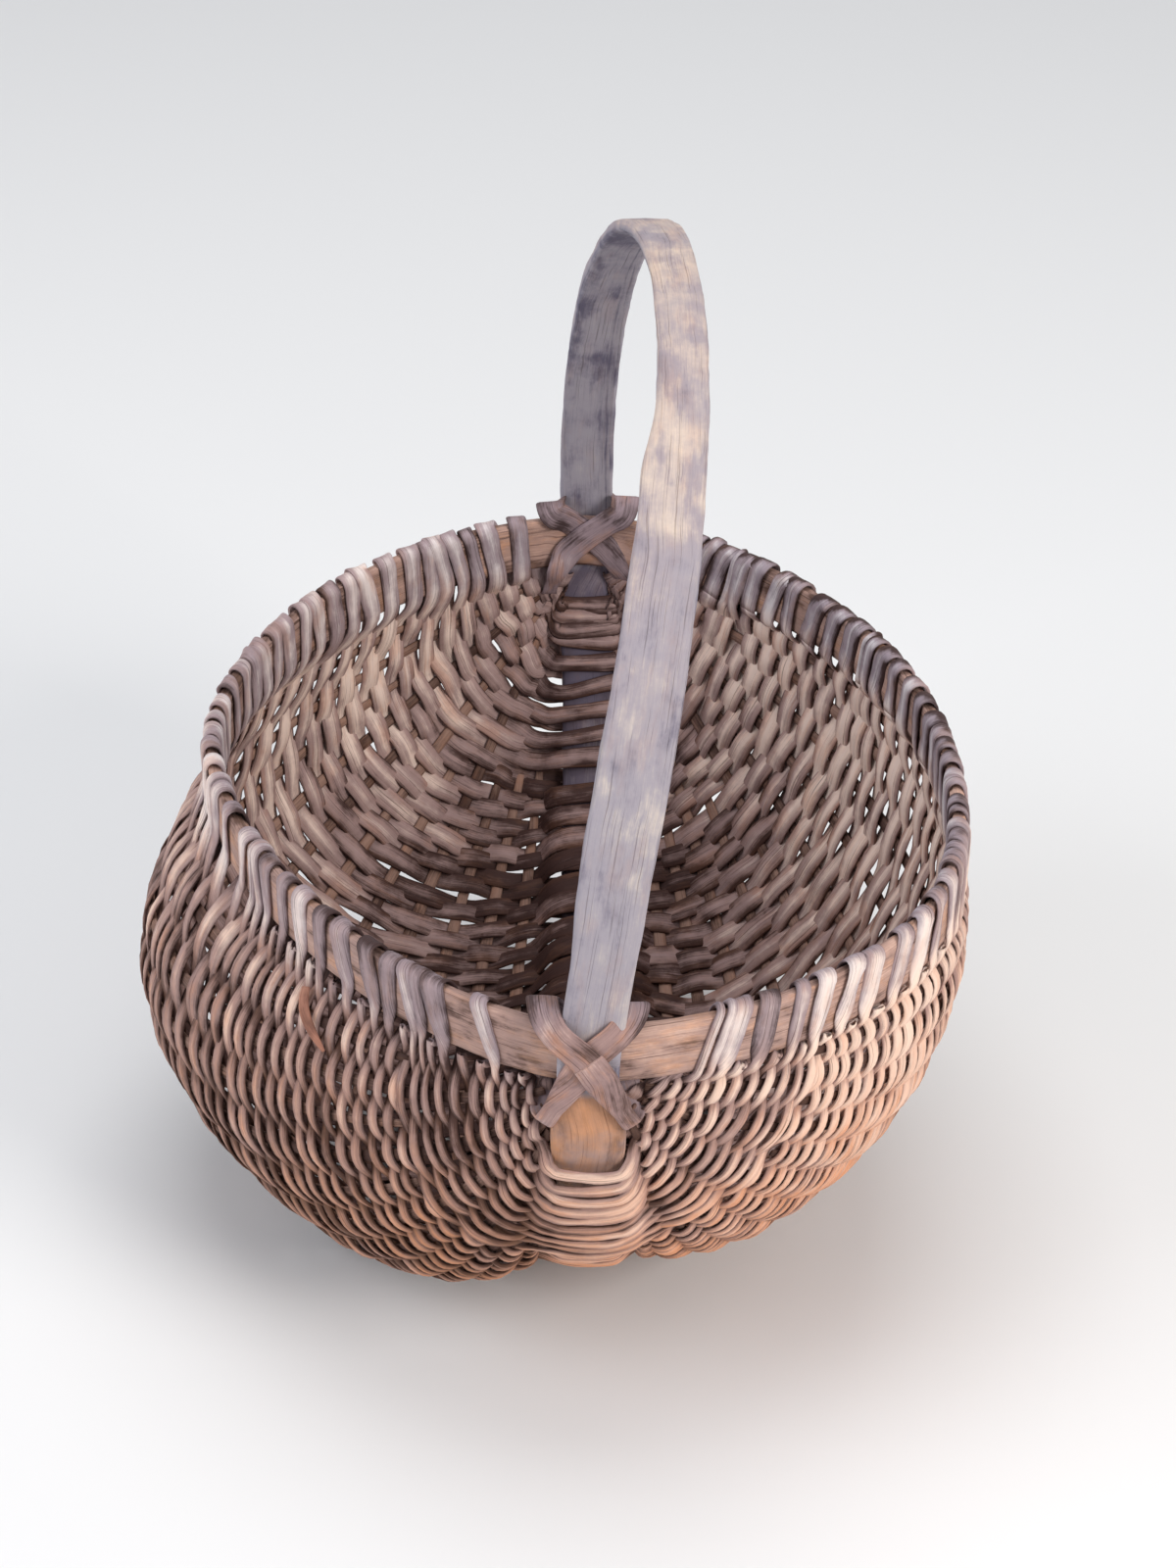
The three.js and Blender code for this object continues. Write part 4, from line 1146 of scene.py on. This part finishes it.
def ear_splints():
    """Short rows that fill each ear between the lashing and the first full row, tucked in under the rim."""
    for at_back, ear in ((False, "front"), (True, "back")):
        rng = np.random.default_rng(EAR_SEEDS[at_back])
        for k in range(1, EAR_ROWS + 1):
            row = LAST_ROW + k if at_back else FIRST_ROW - k
            points, width_way, outward, room, crest = row_under_rim(row, rng, True, behind_spine=True)
            points = softened(points, 2)
            width_way, face_way = squared_up(points, width_way, outward)
            length = travelled(points)
            shapes = splint_shapes(rng, length, room, crest, np.zeros(len(points), dtype=bool))
            tone = rng.normal(EAR_TONE, EAR_TONE_SPREAD) + rippled(rng, length, EAR_SHADES)
            name = f"{ear}_ear_splint_{k}"
            splint_piece(name, points, width_way, face_way, shapes, outward, crest, tone, [])


BROKEN_THICKNESS = 0.8
BROKEN_WIDTH = 3.8
BROKEN_TWIST = 0.9
BROKEN_TURN, BROKEN_RUN = 0.885, -0.11  # where it starts along the basket, and how far it runs
BROKEN_ANGLE, BROKEN_DROP = 0.065, 0.12  # the same down the side
BROKEN_WAVE, BROKEN_WAVES = 0.008, 5.0  # and how far it sways to and fro on its way, in turns
BROKEN_OFF, BROKEN_SPRING = 2.6, 3.0  # mm off the ribs at its start, and more than that further on
BROKEN_ARCH = 2.2  # how much of a wave that spring is, as an angle
BROKEN_TAPER = 0.75  # share of its width that is gone at its tip
BROKEN_SAMPLES, BROKEN_SEED, BROKEN_GRAIN_SEED = 26, 9, 3
BROKEN_UNEVEN = ((0.08, 4),)
BROKEN_SUN, BROKEN_BROWN, BROKEN_TIP_BROWN = 0.56, 0.14, 0.34


def even_splint(width, thickness):
    """The outlines of a splint of one thickness."""
    across = SPLINT_SHAPE[None, :, 0] * width[:, None]
    return np.stack(np.broadcast_arrays(across, SPLINT_SHAPE[None, :, 1] * thickness), axis=-1)


def broken_splint():
    """A sliver that has broken loose on the left-hand front and shows its raw, reddish inside."""
    rng = np.random.default_rng(BROKEN_SEED)
    share = np.linspace(0, 1, BROKEN_SAMPLES)
    turn = BROKEN_TURN + BROKEN_RUN * share + BROKEN_WAVE * np.sin(BROKEN_WAVES * share)
    angle = BROKEN_ANGLE + BROKEN_DROP * share
    off = BROKEN_OFF + BROKEN_SPRING * np.sin(BROKEN_ARCH * share)
    outward = body_normal(LEFT, turn, angle)
    points = body_point(LEFT, turn, angle) + outward * off[:, None]
    across = body_point(LEFT, turn + TINY, angle) - body_point(LEFT, turn, angle)
    width_way, face_way = squared_up(points, across, outward)
    width_way, face_way = twisted(width_way, face_way, BROKEN_TWIST * share)
    width = BROKEN_WIDTH * (1 - BROKEN_TAPER * share ** 3) * rippled(rng, travelled(points), BROKEN_UNEVEN, 1)
    shapes = even_splint(width, BROKEN_THICKNESS)
    corners, faces = swept(points, width_way, face_way, shapes)
    grain = grain_of(points, shapes, BROKEN_GRAIN_SEED)
    made_piece("broken_splint", corners, faces, RAW_WOOD, [], grain, 0.0, BROKEN_SUN,
               np.repeat(BROKEN_BROWN + BROKEN_TIP_BROWN * share, SPLINT_CORNERS))


# ---------------------------------------------------------------- ear lashings

LASHING_WIDTH = 10.8
LASHING_END_WIDTH = 6.6  # where it tucks in under the rim
LASHING_UNEVEN = ((0.05, 14),)
LASHING_TUCK = (-4.0, -16.0)  # mm from the rim's middle between which it narrows
LASHING_SHADES, UPPER_LASHING_TONE = ((0.16, 16),), 0.08
LASHING_SEEN = (170.0, 182.0)  # mm out along the basket from where it is bleached
LASHING_SUN, SEEN_SUN, LASHING_BROWN, SEEN_BROWN = 0.36, 0.04, -0.4, 0.56
LASHING_STEP = 0.9  # mm between its sections
LASHING_THICKNESS = 1.3
LASHING_SEAT = 0.4
LASHING_MIDDLE = 3.5  # the two splints of an ear cross this far over the middle of the rim


def rim_at(s, x):
    """How far out along the basket the rim's middle lies at the distance x from its ear's middle."""
    turns = np.linspace(0, math.pi / 2, 2000)
    line = rim_point(s, turns)
    return float(np.interp(x, np.abs(line[:, 0]), np.abs(line[:, 1])))


def lashing(name, at_back, s, other, layer, seed):
    """A splint tied round both hoops at an ear. It crosses the handle's outer face, goes over the rim beside
    the handle, crosses again behind the rim, and comes back out under it on the other side."""
    rng = np.random.default_rng(seed)
    out = 1.0 if at_back else -1.0
    a, b = s["side"], other["side"]
    clear = LASHING_SEAT + LASHING_THICKNESS / 2 + layer * (LASHING_THICKNESS + LASHING_SEAT)
    front = SPINE_HALF_LENGTH + HANDLE_THICKNESS / 2 + clear
    half = RIM_THICKNESS / 2 + clear
    inner = RIM_HALF_LENGTH - half
    # Each stop: x, distance out along the basket, height over the middle of the rim, and the way it faces.
    stops = [
        (0.0, front + 0.3, LASHING_MIDDLE, (0, 1, 0)),
        (a * 9.5, front - 0.2, 12.5, (a * 0.2, 1, 0)),
        (a * 13.5, rim_at(s, 13.5) + half, 15.0, (a * 0.3, 1, 0.6)),
        (a * 14.8, rim_at(s, 14.8), 17.5 + clear, (0, 0, 1)),
        (a * 13.5, rim_at(s, 13.5) - half - 0.6, 14.5, (0, -1, 0.6)),
        (a * 8.0, inner - 0.5, 10.5, (0, -1, 0)),
        (0.0, inner - 0.4, 4.5, (0, -1, 0)),
        (b * 8.0, inner - 0.6, -2.5, (0, -1, 0)),
        (b * 12.5, rim_at(other, 12.5) - half, -11.5, (0, -1, -0.8)),
        (b * 15.5, rim_at(other, 15.5) + 1.0, -22.5, (0, 0.3, -1)),
        (b * 14.5, front - 3.0, -23.5, (b * 0.5, 1, -0.5)),
        (b * 10.5, front, -14.5, (b * 0.2, 1, 0)),
    ]
    stops = [(np.array([x, out * o, z]), np.array([fx, out * fy, fz])) for x, o, z, (fx, fy, fz) in stops]
    points, faces = [], []
    for (p, f), (p2, f2) in zip(stops, stops[1:] + stops[:1]):
        steps = max(3, int(np.linalg.norm(p2 - p) / LASHING_STEP))
        for i in range(steps):
            points.append(p + (p2 - p) * i / steps)
            faces.append(f + (f2 - f) * i / steps)
    points, faces = (softened(np.array(v), 8, ring=True) for v in (points, faces))
    along = np.roll(points, -1, axis=0) - np.roll(points, 1, axis=0)
    width_way, face_way = squared_up(points, np.cross(along, faces), faces, ring=True)
    length = travelled(points)
    under = share_between(points[:, 2], *LASHING_TUCK)
    width = LASHING_WIDTH + (LASHING_END_WIDTH - LASHING_WIDTH) * under
    width = width * rippled(rng, length, LASHING_UNEVEN, 1)
    shapes = even_splint(width, LASHING_THICKNESS)
    corners, quads = swept(points, width_way, face_way, shapes, ring=True)
    tones = np.repeat(UPPER_LASHING_TONE * layer + rippled(rng, length, LASHING_SHADES), SPLINT_CORNERS)
    seen = np.repeat(share_between(points[:, 1] * out, *LASHING_SEEN), SPLINT_CORNERS)
    made_piece(f"ear_{name}", corners, quads, LASHING_WOOD, [name],
               grain_of(points, shapes, seed), tones, LASHING_SUN + SEEN_SUN * seen,
               LASHING_BROWN + SEEN_BROWN * seen)


# ---------------------------------------------------------------- floor, light and camera

FLOOR_HALF = 6.0  # m
PAPER = (236, 236, 236)
PAPER_ROUGHNESS = 0.9
ROOM_LIGHT = (0.36, 0.37, 0.39, 1)
WHITE = (1, 1, 1, 1)
LAMP_AIM = (0, 0, 0.15)
# Each lamp's name, place and size in m, power in W, and colour.
LAMPS = (
    ("window_right", (1.5, -1.4, 1.2), 0.9, 33, (1.0, 0.965, 0.92)),
    ("fill_left", (-1.8, -0.7, 1.3), 1.6, 22, (0.93, 0.95, 1.0)),
    ("overhead", (0.0, 0.2, 2.2), 1.4, 18, (1.0, 1.0, 1.0)),
)


def paper_floor():
    paper = bpy.data.materials.new("pale_paper_floor")
    paper.use_nodes = True
    shader = paper.node_tree.nodes["Principled BSDF"]
    shader.inputs["Base Color"].default_value = shade(*PAPER)
    shader.inputs["Roughness"].default_value = PAPER_ROUGHNESS
    mesh = bpy.data.meshes.new("paper_floor")
    corners = [(x * FLOOR_HALF, y * FLOOR_HALF, 0) for x, y in ((-1, -1), (1, -1), (1, 1), (-1, 1))]
    mesh.from_pydata(corners, [], [(0, 1, 2, 3)])
    mesh.materials.append(paper)
    floor = bpy.data.objects.new("paper_floor", mesh)
    bpy.context.scene.collection.objects.link(floor)


def pale_room():
    """A room that lights the basket softly, and looks white to the camera and in reflections."""
    world = bpy.data.worlds.new("studio")
    bpy.context.scene.world = world
    world.use_nodes = True
    b = Bench(world.node_tree)
    world.node_tree.nodes.clear()
    rays = b.add("ShaderNodeLightPath").outputs
    mirrored = b.maths("MAXIMUM", rays["Is Glossy Ray"], rays["Is Transmission Ray"])
    seen = b.maths("MAXIMUM", rays["Is Camera Ray"], mirrored)
    back = b.add("ShaderNodeBackground", None, Color=b.mixed(seen, ROOM_LIGHT, WHITE), Strength=1.0)
    out = b.add("ShaderNodeOutputWorld")
    b.join(back.outputs[0], out.inputs[0])


def lamp(name, place, size, power, colour):
    light = bpy.data.lights.new(name, "AREA")
    light.shape = "SQUARE"
    light.size = size
    light.energy = power
    light.color = colour
    piece = bpy.data.objects.new(name, light)
    piece.location = place
    piece.rotation_euler = (Vector(LAMP_AIM) - Vector(place)).to_track_quat("-Z", "Y").to_euler()
    bpy.context.scene.collection.objects.link(piece)


CAMERA_FALL = math.radians(31)
CAMERA_DISTANCE = 1500.0
CAMERA_LENS = 98.1
CAMERA_SENSOR = 36.0
CAMERA_AIM = 11.6  # over the rim's middle
CAMERA_AIM_DOWN = 14.45  # and this far down the picture from there
CAMERA_SIGHT = 50.0  # m


def camera():
    """The camera looks down on the basket over its front ear."""
    ahead = np.array([0, math.cos(CAMERA_FALL), -math.sin(CAMERA_FALL)])
    upward = np.array([0, math.sin(CAMERA_FALL), math.cos(CAMERA_FALL)])
    target = SHIFT + UP * CAMERA_AIM - upward * CAMERA_AIM_DOWN
    data = bpy.data.cameras.new("photo_camera")
    data.sensor_fit = "VERTICAL"
    data.sensor_height = CAMERA_SENSOR
    data.lens = CAMERA_LENS
    data.clip_end = CAMERA_SIGHT
    eye = bpy.data.objects.new("photo_camera", data)
    eye.location = (target - ahead * CAMERA_DISTANCE) * MM
    eye.rotation_euler = (math.pi / 2 - CAMERA_FALL, 0, 0)
    bpy.context.scene.collection.objects.link(eye)
    bpy.context.scene.camera = eye


camera()
paper_floor()
pale_room()
for lamp_values in LAMPS:
    lamp(*lamp_values)
handle_hoop()
rim_hoop()
for s in (LEFT, RIGHT):
    for number in range(1, RIBS_PER_SIDE + 1):
        rib(s, number)
weave()
ear_splints()
broken_splint()
for at_back, ear in ((False, "front"), (True, "back")):
    below, above = (LEFT, RIGHT) if at_back else (RIGHT, LEFT)
    lashing(f"{ear}_lashing_under", at_back, below, above, 0, 51 + 2 * at_back)
    lashing(f"{ear}_lashing_over", at_back, above, below, 1, 52 + 2 * at_back)

bpy.context.scene.view_settings.view_transform = "Standard"
